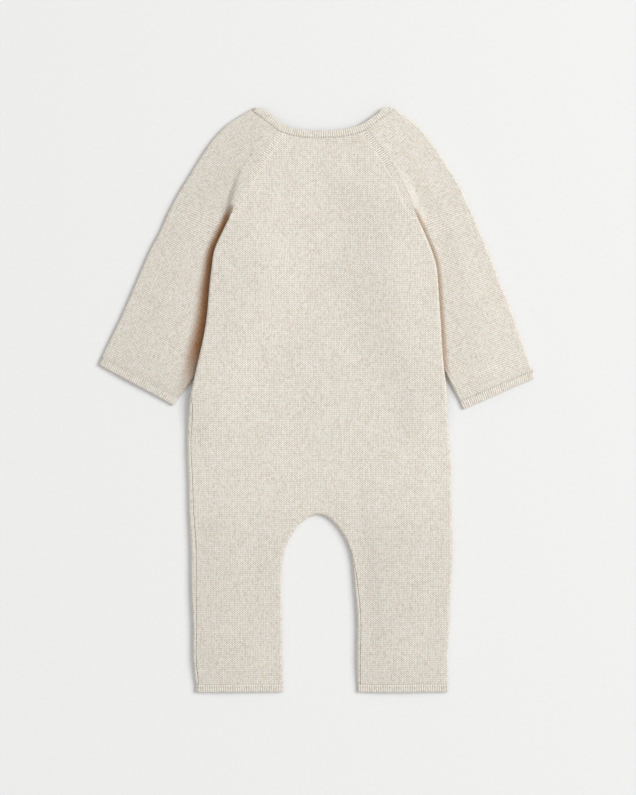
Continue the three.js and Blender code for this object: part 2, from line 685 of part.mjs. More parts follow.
function hem(side) {
  const left = side.name === 'left';
  const inner = inseamEnd(left ? 0 : 1, body, BAND_WALL);
  const outer = rowEnd(side.edge(HEM_DOWN), left ? LEFTWARD : RIGHTWARD, true, body, BAND_WALL);
  const ribs = Math.round(inner.base.distanceTo(outer.base) / RIB_PITCH);
  const loopAt = (down) => {
    const moved = [outer, inner].map((end) => {
      return { ...end, base: new THREE.Vector2(end.base.x, -down) };
    });
    return loop(moved[0], moved[1], body, ribs);
  };
  const rows = [loopAt(HEM_DOWN + SEAM_GAP / 2), loopAt(HEM_DOWN + HEM_DEPTH)];
  return ribBand(rows[0], rows[1], ribs, !left);
}

// The line that the neckband is sewn to, from the left peak to the right one.
function neckLine(neck) {
  const peaks = NECK_PEAKS;
  const left = leftSide(neck.down);
  const right = rightSide(neck.down);
  const sunk = Array.from({ length: NECK_LINE_STEPS + 1 }, (_, i) => {
    const part = i / NECK_LINE_STEPS;
    const bow = neck.depth * (1 - Math.abs(2 * part - 1) ** neck.power);
    return new THREE.Vector2(mix(left.x, right.x, part), mix(left.y, right.y, part) - bow);
  });
  return [
    planPoint(peaks.left.seamAcross, peaks.left.seamDown),
    ...sunk,
    planPoint(peaks.right.seamAcross, peaks.right.seamDown),
  ];
}

function spacedAlong(line, count) {
  const path = new THREE.CurvePath();
  for (let i = 1; i < line.length; i += 1) {
    path.add(new THREE.LineCurve(line[i - 1], line[i]));
  }
  return Array.from({ length: count + 1 }, (_, i) => path.getPointAt(i / count));
}

// Both edges of one half of the neckband: the sewn edge and the free edge of the neck opening.
function neckbandEdges(line, steps) {
  const sewn = spacedAlong(line, steps);
  const peaks = [NECK_PEAKS.left, NECK_PEAKS.right].map((peak) => {
    return planPoint(peak.edgeAcross - peak.seamAcross, peak.edgeDown - peak.seamDown);
  });
  const total = sewn.slice(1).reduce((sum, point, i) => sum + point.distanceTo(sewn[i]), 0);
  return sewn.map((point, i) => {
    const before = sewn[Math.max(i - 1, 0)];
    const after = sewn[Math.min(i + 1, steps)];
    const along = after.clone().sub(before).normalize();
    const upward = new THREE.Vector2(-along.y, along.x);
    const fromEnd = Math.min(i, steps - i) * (total / steps);
    const turn = smoothStep(fromEnd / PEAK_TURN);
    const peak = peaks[i < steps / 2 ? 0 : 1];
    const direction = peak.clone().normalize().lerp(upward, turn).normalize();
    const width = mix(peak.length(), NECKBAND_WIDTH, turn);
    const start = point.clone().addScaledVector(upward, SEAM_GAP / 2);
    return { sewn: start, free: start.clone().addScaledVector(direction, width) };
  });
}

function neckband() {
  const backLine = neckLine(BACK_NECK);
  const length = backLine.slice(1).reduce((sum, point, i) => sum + point.distanceTo(backLine[i]), 0);
  const ribs = Math.round(length / RIB_PITCH);
  const back = neckbandEdges(backLine, ribs * 2);
  const front = neckbandEdges(neckLine(FRONT_NECK), NECKBAND_UNDER_STEPS).reverse();
  const raglanTops = [leftSide(BACK_NECK.down).x, rightSide(BACK_NECK.down).x];
  const heights = { left: sleeveHeights(SIDES.left), right: sleeveHeights(SIDES.right) };
  const topAt = (point) => {
    if (point.x < raglanTops[0]) {
      return heights.left.top(point);
    }
    return point.x > raglanTops[1] ? heights.right.top(point) : body.top(point);
  };
  const half = BAND_WALL / 2;
  const backRows = back.map((edges) => {
    const z = topAt(edges.sewn) - half;
    return [edges.sewn, edges.free].map((point) => new THREE.Vector3(point.x, point.y, z));
  });
  const frontRows = front.map((edges) => {
    return [edges.sewn, edges.free].map((point) => new THREE.Vector3(point.x, point.y, half));
  });
  const turn = (from, to) => Array.from({ length: FOLD_STEPS - 1 }, (_, i) => {
    const angle = (Math.PI * (i + 1)) / FOLD_STEPS;
    return from.map((start, k) => {
      const radius = Math.abs(start.z - to[k].z) / 2;
      const point = start.clone().lerp(to[k], (1 - Math.cos(angle)) / 2);
      point.y += radius * Math.sin(angle);
      return point;
    });
  });
  const rows = [
    ...backRows,
    ...turn(backRows[backRows.length - 1], frontRows[0]),
    ...frontRows,
    ...turn(frontRows[frontRows.length - 1], backRows[0]),
  ];
  rows.push(rows[0]);
  const raised = (row) => (row % 2 === 1 && row < ribs * 2 ? RIB_HEIGHT : 0);
  return new Sheet().addRows(rows, { flip: true, raised }).geometry(BAND_WALL);
}

function material(colour) {
  return new THREE.MeshStandardMaterial({ color: colour, roughness: 0.92, metalness: 0 });
}

function addPiece(group, name, geometry, colour) {
  const mesh = new THREE.Mesh(geometry, material(colour));
  mesh.name = name;
  group.add(mesh);
}

const romper = new THREE.Group();
addPiece(romper, 'back_panel', bodyPanel(true, BACK_NECK), KNIT_COLOUR);
addPiece(romper, 'front_panel', bodyPanel(false, FRONT_NECK), KNIT_COLOUR);
for (const side of Object.values(SIDES)) {
  addPiece(romper, `sleeve_${side.name}`, sleeve(side), KNIT_COLOUR);
  addPiece(romper, `cuff_${side.name}`, cuff(side), BAND_COLOUR);
  addPiece(romper, `hem_${side.name}`, hem(side), BAND_COLOUR);
}
addPiece(romper, 'neckband', neckband(), BAND_COLOUR);

// The origin is below the middle of the garment's outline, on the surface that it lies on.
const outline = new THREE.Box3().setFromObject(romper);
const middle = outline.getCenter(new THREE.Vector3());
romper.position.set(-middle.x, -middle.y, -outline.min.z);
romper.updateMatrixWorld(true);

export default romper;
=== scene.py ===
"""Baby romper in fine melange knit, laid flat on its front with its back up.

Metres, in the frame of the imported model: X runs to the right as seen from above, Y up the
garment towards the neck, and Z is the height above the surface that it lies on.  The tables and
the plan of each piece are in millimetres, across from the garment's centre line and up from the
level of its neck peaks, and so are all sizes unless they say otherwise.
"""

import logging
import math
from dataclasses import dataclass, field, replace
from enum import Enum
from functools import partial
from typing import Any, Callable, ClassVar, NamedTuple, Sequence

import bpy
import numpy as np
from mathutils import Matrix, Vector


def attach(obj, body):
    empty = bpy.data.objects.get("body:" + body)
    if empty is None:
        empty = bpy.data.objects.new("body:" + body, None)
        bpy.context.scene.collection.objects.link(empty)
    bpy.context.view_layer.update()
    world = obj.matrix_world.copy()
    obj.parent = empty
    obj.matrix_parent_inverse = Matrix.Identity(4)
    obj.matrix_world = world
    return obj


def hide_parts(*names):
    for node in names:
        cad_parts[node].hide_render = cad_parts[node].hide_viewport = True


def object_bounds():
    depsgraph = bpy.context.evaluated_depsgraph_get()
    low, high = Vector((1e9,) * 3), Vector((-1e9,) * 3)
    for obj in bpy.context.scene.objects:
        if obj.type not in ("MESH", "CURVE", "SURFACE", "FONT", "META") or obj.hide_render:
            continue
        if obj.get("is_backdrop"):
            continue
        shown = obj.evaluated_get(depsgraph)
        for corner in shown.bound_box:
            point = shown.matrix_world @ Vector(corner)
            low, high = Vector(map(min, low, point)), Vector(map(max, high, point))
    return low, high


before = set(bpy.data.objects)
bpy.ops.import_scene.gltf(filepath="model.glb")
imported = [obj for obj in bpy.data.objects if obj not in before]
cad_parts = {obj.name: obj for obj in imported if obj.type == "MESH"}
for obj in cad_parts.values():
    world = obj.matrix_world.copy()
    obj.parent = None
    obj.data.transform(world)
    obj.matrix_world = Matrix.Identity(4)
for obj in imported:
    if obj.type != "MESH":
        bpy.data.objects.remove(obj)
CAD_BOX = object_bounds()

log = logging.getLogger("romper")

MM = 0.001
CENTRE_LINE_X = 4.25  # where the tables' centre line lies in the frame
NECK_PEAKS_Y = 269.37  # where the tables' top level lies in the frame
ROOT = "root"
SECOND_POINT = 0.6  # where a strip's second point lies between its neighbours
FOLD_SQUARENESS = 0.65  # the power that makes a fold's half circle squarer, 1 for a true one

Array = np.ndarray
Waves = tuple[tuple[float, float, float, float], ...]  # height, lengths in X and Y, start
Adder = Callable[..., bpy.types.Node]  # add_node for one material

# Settings that many nodes share
SOFT = {"interpolation_type": "SMOOTHSTEP"}
TIMES = {"operation": "MULTIPLY"}
TIMES_PLUS = {"operation": "MULTIPLY_ADD"}


class Side(Enum):
    """A side of the garment as seen from above, with the sign of its X."""

    LEFT = -1
    RIGHT = 1

    @property
    def word(self) -> str:
        """The side's name, as the nodes have it."""
        return self.name.lower()


class Layer(Enum):
    """One of the two layers of cloth that lie on each other."""

    UPPER = 1
    LOWER = -1


# Tables, those of the part's source but for the creases, the hidden armhole edges just below the
# armpits, and up to 3 mm along the body's left side, at the left cuff and at the right shoulder


class BodyRow(NamedTuple):
    """Where the body's two side lines and side seams lie at one level."""

    down: float
    left: float
    right: float
    seam_left: float
    seam_right: float


class InseamRow(NamedTuple):
    """A point of the legs' inner edge and how far its seam lies from the fold."""

    across: float
    down: float
    seam: float


class RaglanStation(NamedTuple):
    """A row of a sleeve from its folded edge to the raglan seam."""

    over_across: float
    over_down: float
    raglan_down: float


class ArmStation(NamedTuple):
    """A row of a sleeve from its folded edge to the underarm edge."""

    over_across: float
    over_down: float
    under_across: float
    under_down: float
    folded: bool = True


class Neck(NamedTuple):
    """A neck edge: the level of its ends, how much deeper its middle is, and how square it is."""

    down: float
    depth: float
    power: float


class Crease(NamedTuple):
    """A soft trough, or a ridge where its depth is below 0, pressed into the upper layer."""

    from_across: float
    from_down: float
    to_across: float
    to_down: float
    depth: float
    width: float


BACK_NECK = Neck(20.5, 7.5, 2.6)
FRONT_NECK = Neck(35.8, 20.0, 2.4)
BODY_SIDES = tuple(BodyRow(*row) for row in (
    (20.5, 39.5, 43.0, 0.0, 0.0),
    (45.0, 54.5, 60.5, 0.0, 0.0),
    (61.5, 65.0, 70.0, 0.0, 0.0),
    (74.5, 72.0, 77.0, 0.0, 0.0),
    (88.5, 79.0, 83.0, -2.0, -2.0),
    (97.0, 81.5, 86.5, -3.0, -3.0),
    (110.5, 88.5, 92.5, -3.0, -3.0),
    (131.5, 98.2, 101.0, -3.0, -3.0),
    (150.0, 100.6, 106.5, -3.0, -3.0),
    (193.0, 105.5, 109.5, -3.0, -3.0),
    (223.5, 110.9, 112.0, -3.0, -3.0),
    (254.0, 117.9, 115.0, -3.0, -3.0),
    (265.0, 120.5, 116.0, 1.5, -3.0),
    (284.5, 122.0, 116.5, 3.9, -3.0),
    (315.5, 123.0, 119.0, 3.5, -3.0),
    (361.5, 122.0, 120.5, 4.3, -3.0),
    (417.0, 120.0, 121.0, 5.3, -3.0),
    (472.0, 118.5, 118.0, 4.0, -3.0),
    (505.0, 118.0, 117.0, 3.2, -3.0),
    (532.0, 116.0, 117.5, 3.0, -3.0),
))
INSEAM = tuple(InseamRow(*row) for row in (
    (-35.0, 532.0, -3.0),
    (-36.0, 472.0, -3.0),
    (-36.5, 430.5, -3.0),
    (-34.0, 407.5, -3.0),
    (-27.0, 393.0, -2.5),
    (-17.5, 381.5, -2.0),
    (-3.0, 374.5, -1.5),
    (9.0, 379.5, -1.0),
    (20.0, 393.0, 0.0),
    (27.0, 410.5, 1.5),
    (30.0, 430.5, 2.6),
    (33.0, 472.0, 3.4),
    (33.5, 532.0, 3.0),
))
SLEEVE_LEFT = (
    RaglanStation(-64.5, 2.0, 20.5),
    RaglanStation(-78.0, 10.5, 32.8),
    RaglanStation(-89.0, 18.5, 45.0),
    RaglanStation(-102.0, 33.0, 61.5),
    RaglanStation(-112.5, 48.0, 74.5),
    RaglanStation(-122.5, 64.0, 88.5),
    RaglanStation(-129.0, 74.5, 97.0),
    ArmStation(-134.0, 84.0, -80.0, 104.5, False),
    ArmStation(-141.0, 98.0, -81.0, 127.0, False),
    ArmStation(-147.0, 112.0, -72.0, 154.5),
    ArmStation(-157.5, 131.5, -81.0, 175.5),
    ArmStation(-168.5, 157.5, -93.5, 200.5),
    ArmStation(-180.0, 183.0, -106.5, 225.5),
    ArmStation(-192.0, 208.5, -117.4, 250.5),
    ArmStation(-202.0, 230.0, -131.6, 268.0),
)
CUFF_LEFT = ArmStation(-205.0, 236.5, -135.8, 275.0)
SLEEVE_RIGHT = (
    RaglanStation(67.2, 1.0, 20.5),
    RaglanStation(80.0, 10.0, 32.8),
    RaglanStation(90.0, 18.5, 45.0),
    RaglanStation(102.0, 32.5, 61.5),
    RaglanStation(112.5, 48.5, 74.5),
    RaglanStation(124.0, 66.0, 88.5),
    RaglanStation(132.0, 80.5, 97.0),
    ArmStation(136.0, 89.0, 84.0, 104.5, False),
    ArmStation(142.0, 103.0, 83.5, 127.0, False),
    ArmStation(150.5, 124.0, 74.5, 154.5),
    ArmStation(159.5, 147.0, 83.5, 177.5),
    ArmStation(168.5, 170.0, 93.5, 200.5),
    ArmStation(177.0, 194.0, 104.5, 223.5),
    ArmStation(185.5, 217.5, 115.5, 246.5),
    ArmStation(196.0, 243.0, 128.0, 271.0),
)
CUFF_RIGHT = ArmStation(196.5, 250.0, 131.0, 278.0)

BODY_CREASES = tuple(Crease(*row) for row in (
    (-51, 62, -53, 96, 0.35, 6),
    (57, 58, 62, 92, 0.45, 6),
    (33, 350, 39, 400, 0.9, 7),
    (39, 400, 46, 490, 0.8, 8),
    (-62, 380, -70, 470, 0.5, 10),
))
SLEEVE_CREASES = tuple(Crease(*row) for row in (
    (-80, 70, -83.5, 80, 0.4, 2.2),
    (-83.5, 80, -86.0, 97, 0.5, 2.4),
    (110, 68, 112, 140, 0.7, 12),
))


def mix(start: Any, end: Any, part: Any) -> Any:
    """The value a part of the way from start to end."""
    return start + (end - start) * part


def smooth_step(part: Any) -> Any:
    """0 up to 0 and 1 from 1 on, with a soft slope between."""
    held = np.clip(part, 0.0, 1.0)
    return held * held * (3 - 2 * held)


def bell(distance: Any, width: float) -> Any:
    """1 at distance 0, falling softly to nothing past the width."""
    return np.exp(-((distance / width) ** 2))


def waves_at(x: Array, y: Array, waves: Waves) -> Array:
    """The sum of waves at each point."""
    return sum(height * np.sin(x / in_x + y / in_y + start) for height, in_x, in_y, start in waves)


def bent_wave(along: Array, across: Array, length: float, bend: float, bend_length: float) -> Array:
    """A wave at each point whose crests wind from side to side."""
    return np.sin(along / length + bend * np.sin(across / bend_length))


def plan_point(across: float, down: float) -> Array:
    """A point of the plan from a table's two values."""
    return np.array([across, -down], float)


def unit(vector: Array) -> Array:
    """The vector at length 1."""
    return vector / np.linalg.norm(vector)


def running_sum(steps: Array) -> Array:
    """The sums of each row's first values, from 0 to all of them."""
    return np.concatenate([np.zeros_like(steps[..., :1]), np.cumsum(steps, axis=-1)], axis=-1)


def step_lengths(line: Array) -> Array:
    """The length of each step of a line, or of each row of a grid."""
    return np.linalg.norm(np.diff(line, axis=-2), axis=-1)


def place_on_line(points: Array, line: Array) -> tuple[Array, Array]:
    """How far each point lies from a broken line, and how far along it.

    Args:
        points: plan points, one a row.
        line: the line's corners in order.

    Returns:
        The distances from the line, and the lengths along it.
    """
    start = line[:-1]
    along = line[1:] - start
    lengths = step_lengths(line)
    offset = points[:, None, :] - start[None]
    part = np.clip((offset * along).sum(-1) / (along**2).sum(-1), 0, 1)
    away = np.linalg.norm(offset - part[..., None] * along, axis=-1)
    nearest = away.argmin(1)
    rows = np.arange(len(points))
    return away[rows, nearest], running_sum(lengths)[nearest] + part[rows, nearest] * lengths[nearest]


def distance_to_line(points: Array, line: Array) -> Array:
    """Shortest distance from each point to a broken line."""
    return place_on_line(points, line)[0]


def is_inside(points: Array, outline: Array) -> Array:
    """Whether each plan point lies inside a closed outline."""
    start = outline
    end = np.roll(outline, -1, axis=0)
    x, y = points[:, :1], points[:, 1:]
    crosses = (start[:, 1] > y) != (end[:, 1] > y)
    rise = np.where(end[:, 1] == start[:, 1], 1.0, end[:, 1] - start[:, 1])
    at = start[:, 0] + (y - start[:, 1]) / rise * (end[:, 0] - start[:, 0])
    return (crosses & (x < at)).sum(1) % 2 == 1


def curve_between(p0: Array, p1: Array, p2: Array, p3: Array, s: Any) -> Array:
    """Points from p1 at 0 to p2 at 1, on a smooth curve that comes from p0 and goes on to p3."""
    v0, v1 = (p2 - p0) / 2, (p3 - p1) / 2
    return (2 * p1 - 2 * p2 + v0 + v1) * s**3 + (3 * p2 - 3 * p1 - 2 * v0 - v1) * s**2 + v0 * s + p1


class SmoothColumn:
    """A smooth function through one column of a table."""

    def __init__(self, keys: Sequence[float], values: Sequence[float]) -> None:
        """Keeps the column with its slopes.

        Args:
            keys: where each value stands, rising.
            values: the column's values.
        """
        self.keys = np.array(keys, float)
        self.values = np.array(values, float)
        last = len(keys) - 1
        before = np.maximum(np.arange(last + 1) - 1, 0)
        after = np.minimum(np.arange(last + 1) + 1, last)
        run = self.keys[after] - self.keys[before]
        self.slopes = (self.values[after] - self.values[before]) / run

    def __call__(self, at: Any) -> Any:
        """The value at one or many keys."""
        low = np.searchsorted(self.keys[1:-1], at, side="left")
        span = self.keys[low + 1] - self.keys[low]
        s = (at - self.keys[low]) / span
        bend = self.slopes[low] * s * (1 - s) ** 2 - self.slopes[low + 1] * s * s * (1 - s)
        return mix(self.values[low], self.values[low + 1], s * s * (3 - 2 * s)) + span * bend


class InseamCurve:
    """The legs' inner edge as one smooth curve, from the left hem to the right one."""

    SAMPLES = 200

    def __init__(self, rows: Sequence[InseamRow]) -> None:
        """Draws the curve through the table's points and measures it."""
        corners = np.array([plan_point(row.across, row.down) for row in rows])
        padded = np.vstack([corners[0], corners, corners[-1]])
        steps = np.linspace(0, 1, self.SAMPLES, endpoint=False)[:, None]
        pieces = [curve_between(*padded[i : i + 4], steps) for i in range(len(corners) - 1)]
        self.points = np.vstack([*pieces, corners[-1:]])
        self.lengths = running_sum(step_lengths(self.points))
        self.length = float(self.lengths[-1])
        straight = step_lengths(corners)
        parts = running_sum(straight) / straight.sum()
        self.seam = SmoothColumn(parts, [row.seam for row in rows])

    def at(self, part: float) -> Array:
        """The point a part of the way along the curve."""
        want = part * self.length
        return np.array([np.interp(want, self.lengths, self.points[:, i]) for i in (0, 1)])

    def outward(self, part: float) -> Array:
        """The direction away from the cloth, at a part of the way along."""
        reach = 0.002
        along = unit(self.at(min(part + reach, 1.0)) - self.at(max(part - reach, 0.0)))
        return np.array([along[1], -along[0]])

    def line(self, count: int) -> Array:
        """Points spaced evenly along the curve."""
        return np.array([self.at(i / count) for i in range(count + 1)])


def body_column(name: str) -> Any:
    """A dataclass field with one column of the body's table."""
    keys = [row.down for row in BODY_SIDES]
    return field(default_factory=lambda: SmoothColumn(keys, [getattr(row, name) for row in BODY_SIDES]))


@dataclass(frozen=True)
class Pattern:
    """The garment's outlines in plan."""

    armpit_down: float = 97.0
    front_raglan_join: float = 45.0
    hem_down: float = 532.0
    hem_depth: float = 6.5
    hem_reach: float = 130.0
    raglan_steps: int = 16
    fold_steps: int = 40
    inseam_steps: int = 60
    left: SmoothColumn = body_column("left")
    right: SmoothColumn = body_column("right")
    seam_left: SmoothColumn = body_column("seam_left")
    seam_right: SmoothColumn = body_column("seam_right")
    inseam: InseamCurve = field(default_factory=lambda: InseamCurve(INSEAM))

    def edge(self, side: Side, down: float) -> Array:
        """The point of a body's side line at a level."""
        width = self.left(down) if side is Side.LEFT else self.right(down)
        return plan_point(side.value * float(width), down)

    def edge_line(self, side: Side, start: float, end: float, steps: int) -> Array:
        """A stretch of a body's side line."""
        return np.array([self.edge(side, mix(start, end, i / steps)) for i in range(steps + 1)])

    def raglan(self, side: Side) -> Array:
        """The raglan seam of a side."""
        return self.edge_line(side, BACK_NECK.down, self.armpit_down, self.raglan_steps)

    def fold(self, side: Side) -> Array:
        """The folded side of the body below the armpit."""
        return self.edge_line(side, self.armpit_down, self.hem_down, self.fold_steps)

    def stations(self, side: Side) -> Sequence[RaglanStation | ArmStation]:
        """The table of a sleeve."""
        return SLEEVE_LEFT if side is Side.LEFT else SLEEVE_RIGHT

    def ends(self, side: Side, row: RaglanStation | ArmStation) -> tuple[Array, Array]:
        """Both ends of a sleeve's row: the folded edge over the arm, and the other edge."""
        over = plan_point(row.over_across, row.over_down)
        if isinstance(row, RaglanStation):
            return over, self.edge(side, row.raglan_down)
        return over, plan_point(row.under_across, row.under_down)

    def over_line(self, side: Side) -> Array:
        """The folded edge over the arm."""
        return np.array([self.ends(side, row)[0] for row in self.stations(side)])

    def under_line(self, side: Side) -> Array:
        """The folded edge under the arm."""
        rows = [row for row in self.stations(side) if isinstance(row, ArmStation) and row.folded]
        return np.array([self.ends(side, row)[1] for row in rows])

    def sleeve_outline(self, side: Side) -> Array:
        """The closed outline of a sleeve."""
        others = [self.ends(side, row)[1] for row in self.stations(side)]
        return np.vstack([self.over_line(side), np.array(others)[::-1]])


PATTERN = Pattern()


@dataclass(frozen=True)
class Lay:
    """How the layers of cloth lie on each other and on the surface below."""

    body_loft: float = 5.2  # both layers' height together at a fold
    sleeve_loft: float = 4.6
    crown: float = 1.7  # how much higher the middle of the cloth lies than its edges
    crown_reach: float = 24.0
    neck_sag: float = 2.6  # how far the back sags at the middle of its neck edge
    neck_sag_reach: float = 15.0
    neck_sag_half_width: float = 60.0
    tuck_play: float = 0.45  # the air between a tucked sleeve and the body
    tuck_margin: float = 8.0  # how far past the sleeve the body stays up
    tuck_ramp: float = 26.0  # over what width it then comes down
    tuck_starts: float = 45.0  # the levels from which and at which a sleeve lifts the body fully
    tuck_full: float = 95.0
    wedge_width: float = 5.0  # how wide a sleeve's slope up to the raglan seam is
    crease_width: float = 3.4  # the same at the crease above the left armpit
    crease_spread: float = 0.2  # how far that crease leads away from the seam
    crease_farthest: float = 7.5
    wedge_reach: float = 5.0  # how far past the armpit the slope goes on
    wedge_steps: int = 20
    tuck_turn: float = 2.0  # over what width a sleeve goes in below the body
    trough: float = 12.0
    deepest_dip: float = 0.6
    wide_ramp: float = 60.0  # the back comes down more slowly than the front
    wide_clear: float = 16.0
    thin_reach: float = 30.0  # how far from its end a sleeve or leg is thinner
    thin_by: float = 0.45
    lowest_middle: float = 0.9  # the height of the lowest cloth's middle
    uneven: float = 0.16
    free_from: float = 2.0  # the height from which the cloth is free to lie unevenly
    free_over: float = 2.5
    dimple_share: float = 0.6
    swell_share: float = 0.7
    dimples_x: tuple[float, float, float] = (9.1, 1.3, 31.0)  # length, bend, the bend's length
    dimples_y: tuple[float, float, float] = (13.7, 0.9, 23.0)
    swells: Waves = ((1.0, 21.0, 37.0, 1.1), (0.8, 33.0, -18.0, 0.4))
    shifts_x: Waves = ((0.25, math.inf, 11.0, 0.8), (0.25, 60.0, 24.0, 0.0))
    shifts_y: Waves = ((0.22, 13.0, math.inf, 0.5), (0.18, 27.0, 50.0, 0.0))

    def crown_at(self, points: Array, lines: Sequence[Array]) -> Array:
        """How far the upper layer swells at each point, away from the given edges."""
        away = np.min([distance_to_line(points, line) for line in lines], axis=0)
        return self.crown * (1 - bell(away, self.crown_reach))

    def creases_at(self, points: Array, creases: Sequence[Crease]) -> Array:
        """How deep the creases are at each point."""
        depth = np.zeros(len(points))
        for crease in creases:
            ends = plan_point(*crease[:2]), plan_point(*crease[2:4])
            away = distance_to_line(points, np.array(ends))
            depth = np.maximum(depth, crease.depth * bell(away, crease.width))
        return depth

    def body_bottom(self, points: Array) -> Array:
        """How far the tucked sleeves lift the underside of the body."""
        return self.tuck_lift(points, self.tuck_ramp)

    def tuck_lift(self, points: Array, reach: float) -> Array:
        """How far the tucked sleeves lift a layer that comes down beside them within a reach."""
        lift = np.zeros(len(points))
        for side in Side:
            outline = PATTERN.sleeve_outline(side)
            away = np.where(is_inside(points, outline), 0.0, distance_to_line(points, outline))
            ramp = smooth_step(1 - (away - self.tuck_margin) / reach)
            lift = np.maximum(lift, (self.sleeve_loft + self.tuck_play) * ramp)
        grown = smooth_step((-points[:, 1] - self.tuck_starts) / (self.tuck_full - self.tuck_starts))
        return lift * grown

    def body_top(self, points: Array) -> Array:
        """The height of the back panel's outside."""
        lines = [PATTERN.fold(side) for side in Side]
        lines += [PATTERN.over_line(side) for side in Side]
        lines.append(PATTERN.inseam.line(PATTERN.inseam_steps))
        middle = np.maximum(1 - (points[:, 0] / self.neck_sag_half_width) ** 2, 0)
        below = np.maximum(-points[:, 1] - BACK_NECK.down - BACK_NECK.depth * middle, 0)
        sag = self.neck_sag * middle * bell(below, self.neck_sag_reach)
        swell = self.crown_at(points, lines) - self.creases_at(points, BODY_CREASES) - sag
        edge = np.min([distance_to_line(points, line) for line in lines[:2]], axis=0)
        lift = self.body_bottom(points)
        wide = (self.tuck_lift(points, self.wide_ramp) - lift) * (1 - bell(edge, self.wide_clear))
        return lift + wide + self.body_loft + swell

    def sleeve_bottom(self, points: Array) -> Array:
        """The sleeves lie on the surface below."""
        return np.zeros(len(points))

    def sleeve_top(self, side: Side, points: Array) -> Array:
        """The height of a sleeve's outside on its upper layer."""
        lines = [PATTERN.over_line(side), PATTERN.fold(side), PATTERN.under_line(side)]
        down = -points[:, 1]
        width = PATTERN.left if side is Side.LEFT else PATTERN.right
        limits = BODY_SIDES[0].down, BODY_SIDES[-1].down
        beside = np.abs(points[:, 0]) - width(np.clip(down, *limits))
        clear = np.where(down < PATTERN.armpit_down, 1.0, smooth_step(beside / self.trough))
        swell = self.crown_at(points, lines) - self.creases_at(points, SLEEVE_CREASES)
        plain = self.sleeve_loft + np.maximum(swell, -self.deepest_dip) * clear
        stop = PATTERN.armpit_down + self.wedge_reach
        wedge = PATTERN.edge_line(side, BACK_NECK.down, stop, self.wedge_steps)
        away = distance_to_line(points, wedge)
        if side is Side.LEFT:
            # The cloth stays up beside the seam and drops in a crease that runs out from the armpit
            apart = np.clip((PATTERN.armpit_down - down) * self.crease_spread, 0, self.crease_farthest)
            held = bell(np.maximum(away - apart, 0), self.crease_width)
        else:
            held = bell(away, self.wedge_width)
        tucked = (down > PATTERN.armpit_down) & (beside < 0)
        held *= np.where(tucked, smooth_step(1 + beside / self.tuck_turn), 1.0)
        return mix(plain, self.body_top(points), held)

    def settle(self, xyz: Array) -> Array:
        """Makes the cloth lie a little unevenly, the same for all pieces so that they stay together.

        Args:
            xyz: points in millimetres, with their height.

        Returns:
            The moved points.
        """
        x, y, z = xyz.T
        ends = [np.array(PATTERN.ends(side, cuff)) for side, cuff in zip(Side, (CUFF_LEFT, CUFF_RIGHT))]
        hem = PATTERN.hem_down + PATTERN.hem_depth
        ends.append(np.array([plan_point(side.value * PATTERN.hem_reach, hem) for side in Side]))
        away = np.min([distance_to_line(xyz[:, :2], line) for line in ends], axis=0)
        thin = 1 - self.thin_by * smooth_step(1 - away / self.thin_reach)
        z = self.lowest_middle + (z - self.lowest_middle) * thin
        dimple = bent_wave(x, y, *self.dimples_x) * bent_wave(y, x, *self.dimples_y)
        rise = self.dimple_share * dimple + self.swell_share * waves_at(x, y, self.swells)
        free = smooth_step((z - self.free_from) / self.free_over)
        dx, dy = (waves_at(x, y, waves) for waves in (self.shifts_x, self.shifts_y))
        return np.column_stack([x + dx, y + dy, z + free * self.uneven * rise])


LAY = Lay()


class Heights(NamedTuple):
    """The loft of a tube of cloth and the heights of its two layers."""

    loft: float
    bottom: Callable[[Array], Array]
    top: Callable[[Array], Array]


def body_heights() -> Heights:
    """The heights of the body's two layers."""
    return Heights(LAY.body_loft, LAY.body_bottom, LAY.body_top)


def sleeve_heights(side: Side) -> Heights:
    """The heights of a sleeve's two layers."""
    return Heights(LAY.sleeve_loft, LAY.sleeve_bottom, lambda points: LAY.sleeve_top(side, points))


@dataclass(frozen=True)
class RowEnd:
    """An end of a row: where the cloth folds round to the other layer, or meets a seam."""

    base: Array
    outward: Array
    radius: float

    @property
    def quarter(self) -> float:
        """Length of cloth over a quarter of the fold."""
        return self.radius * math.pi / 2


@dataclass(kw_only=True)
class Piece:
    """A piece of the garment, with its wall and the gap at its seams, below 0 for an overlap."""

    wall: float = 1.8
    seam_gap: float = -0.5

    def end(self, edge: Array, outward: Array, loft: float, folded: float = 1.0) -> RowEnd:
        """The end of a row at an edge of the outline.

        Args:
            edge: the outline's point.
            outward: the direction away from the cloth.
            loft: the height of both layers together at the fold.
            folded: how far the cloth folds round here, from 0 at a flat seam to 1.

        Returns:
            The end, with its base where the fold starts.
        """
        radius = (loft - self.wall) / 2
        inset = mix(self.seam_gap / 2, radius + self.wall / 2, folded)
        return RowEnd(edge - outward * inset, outward, radius)


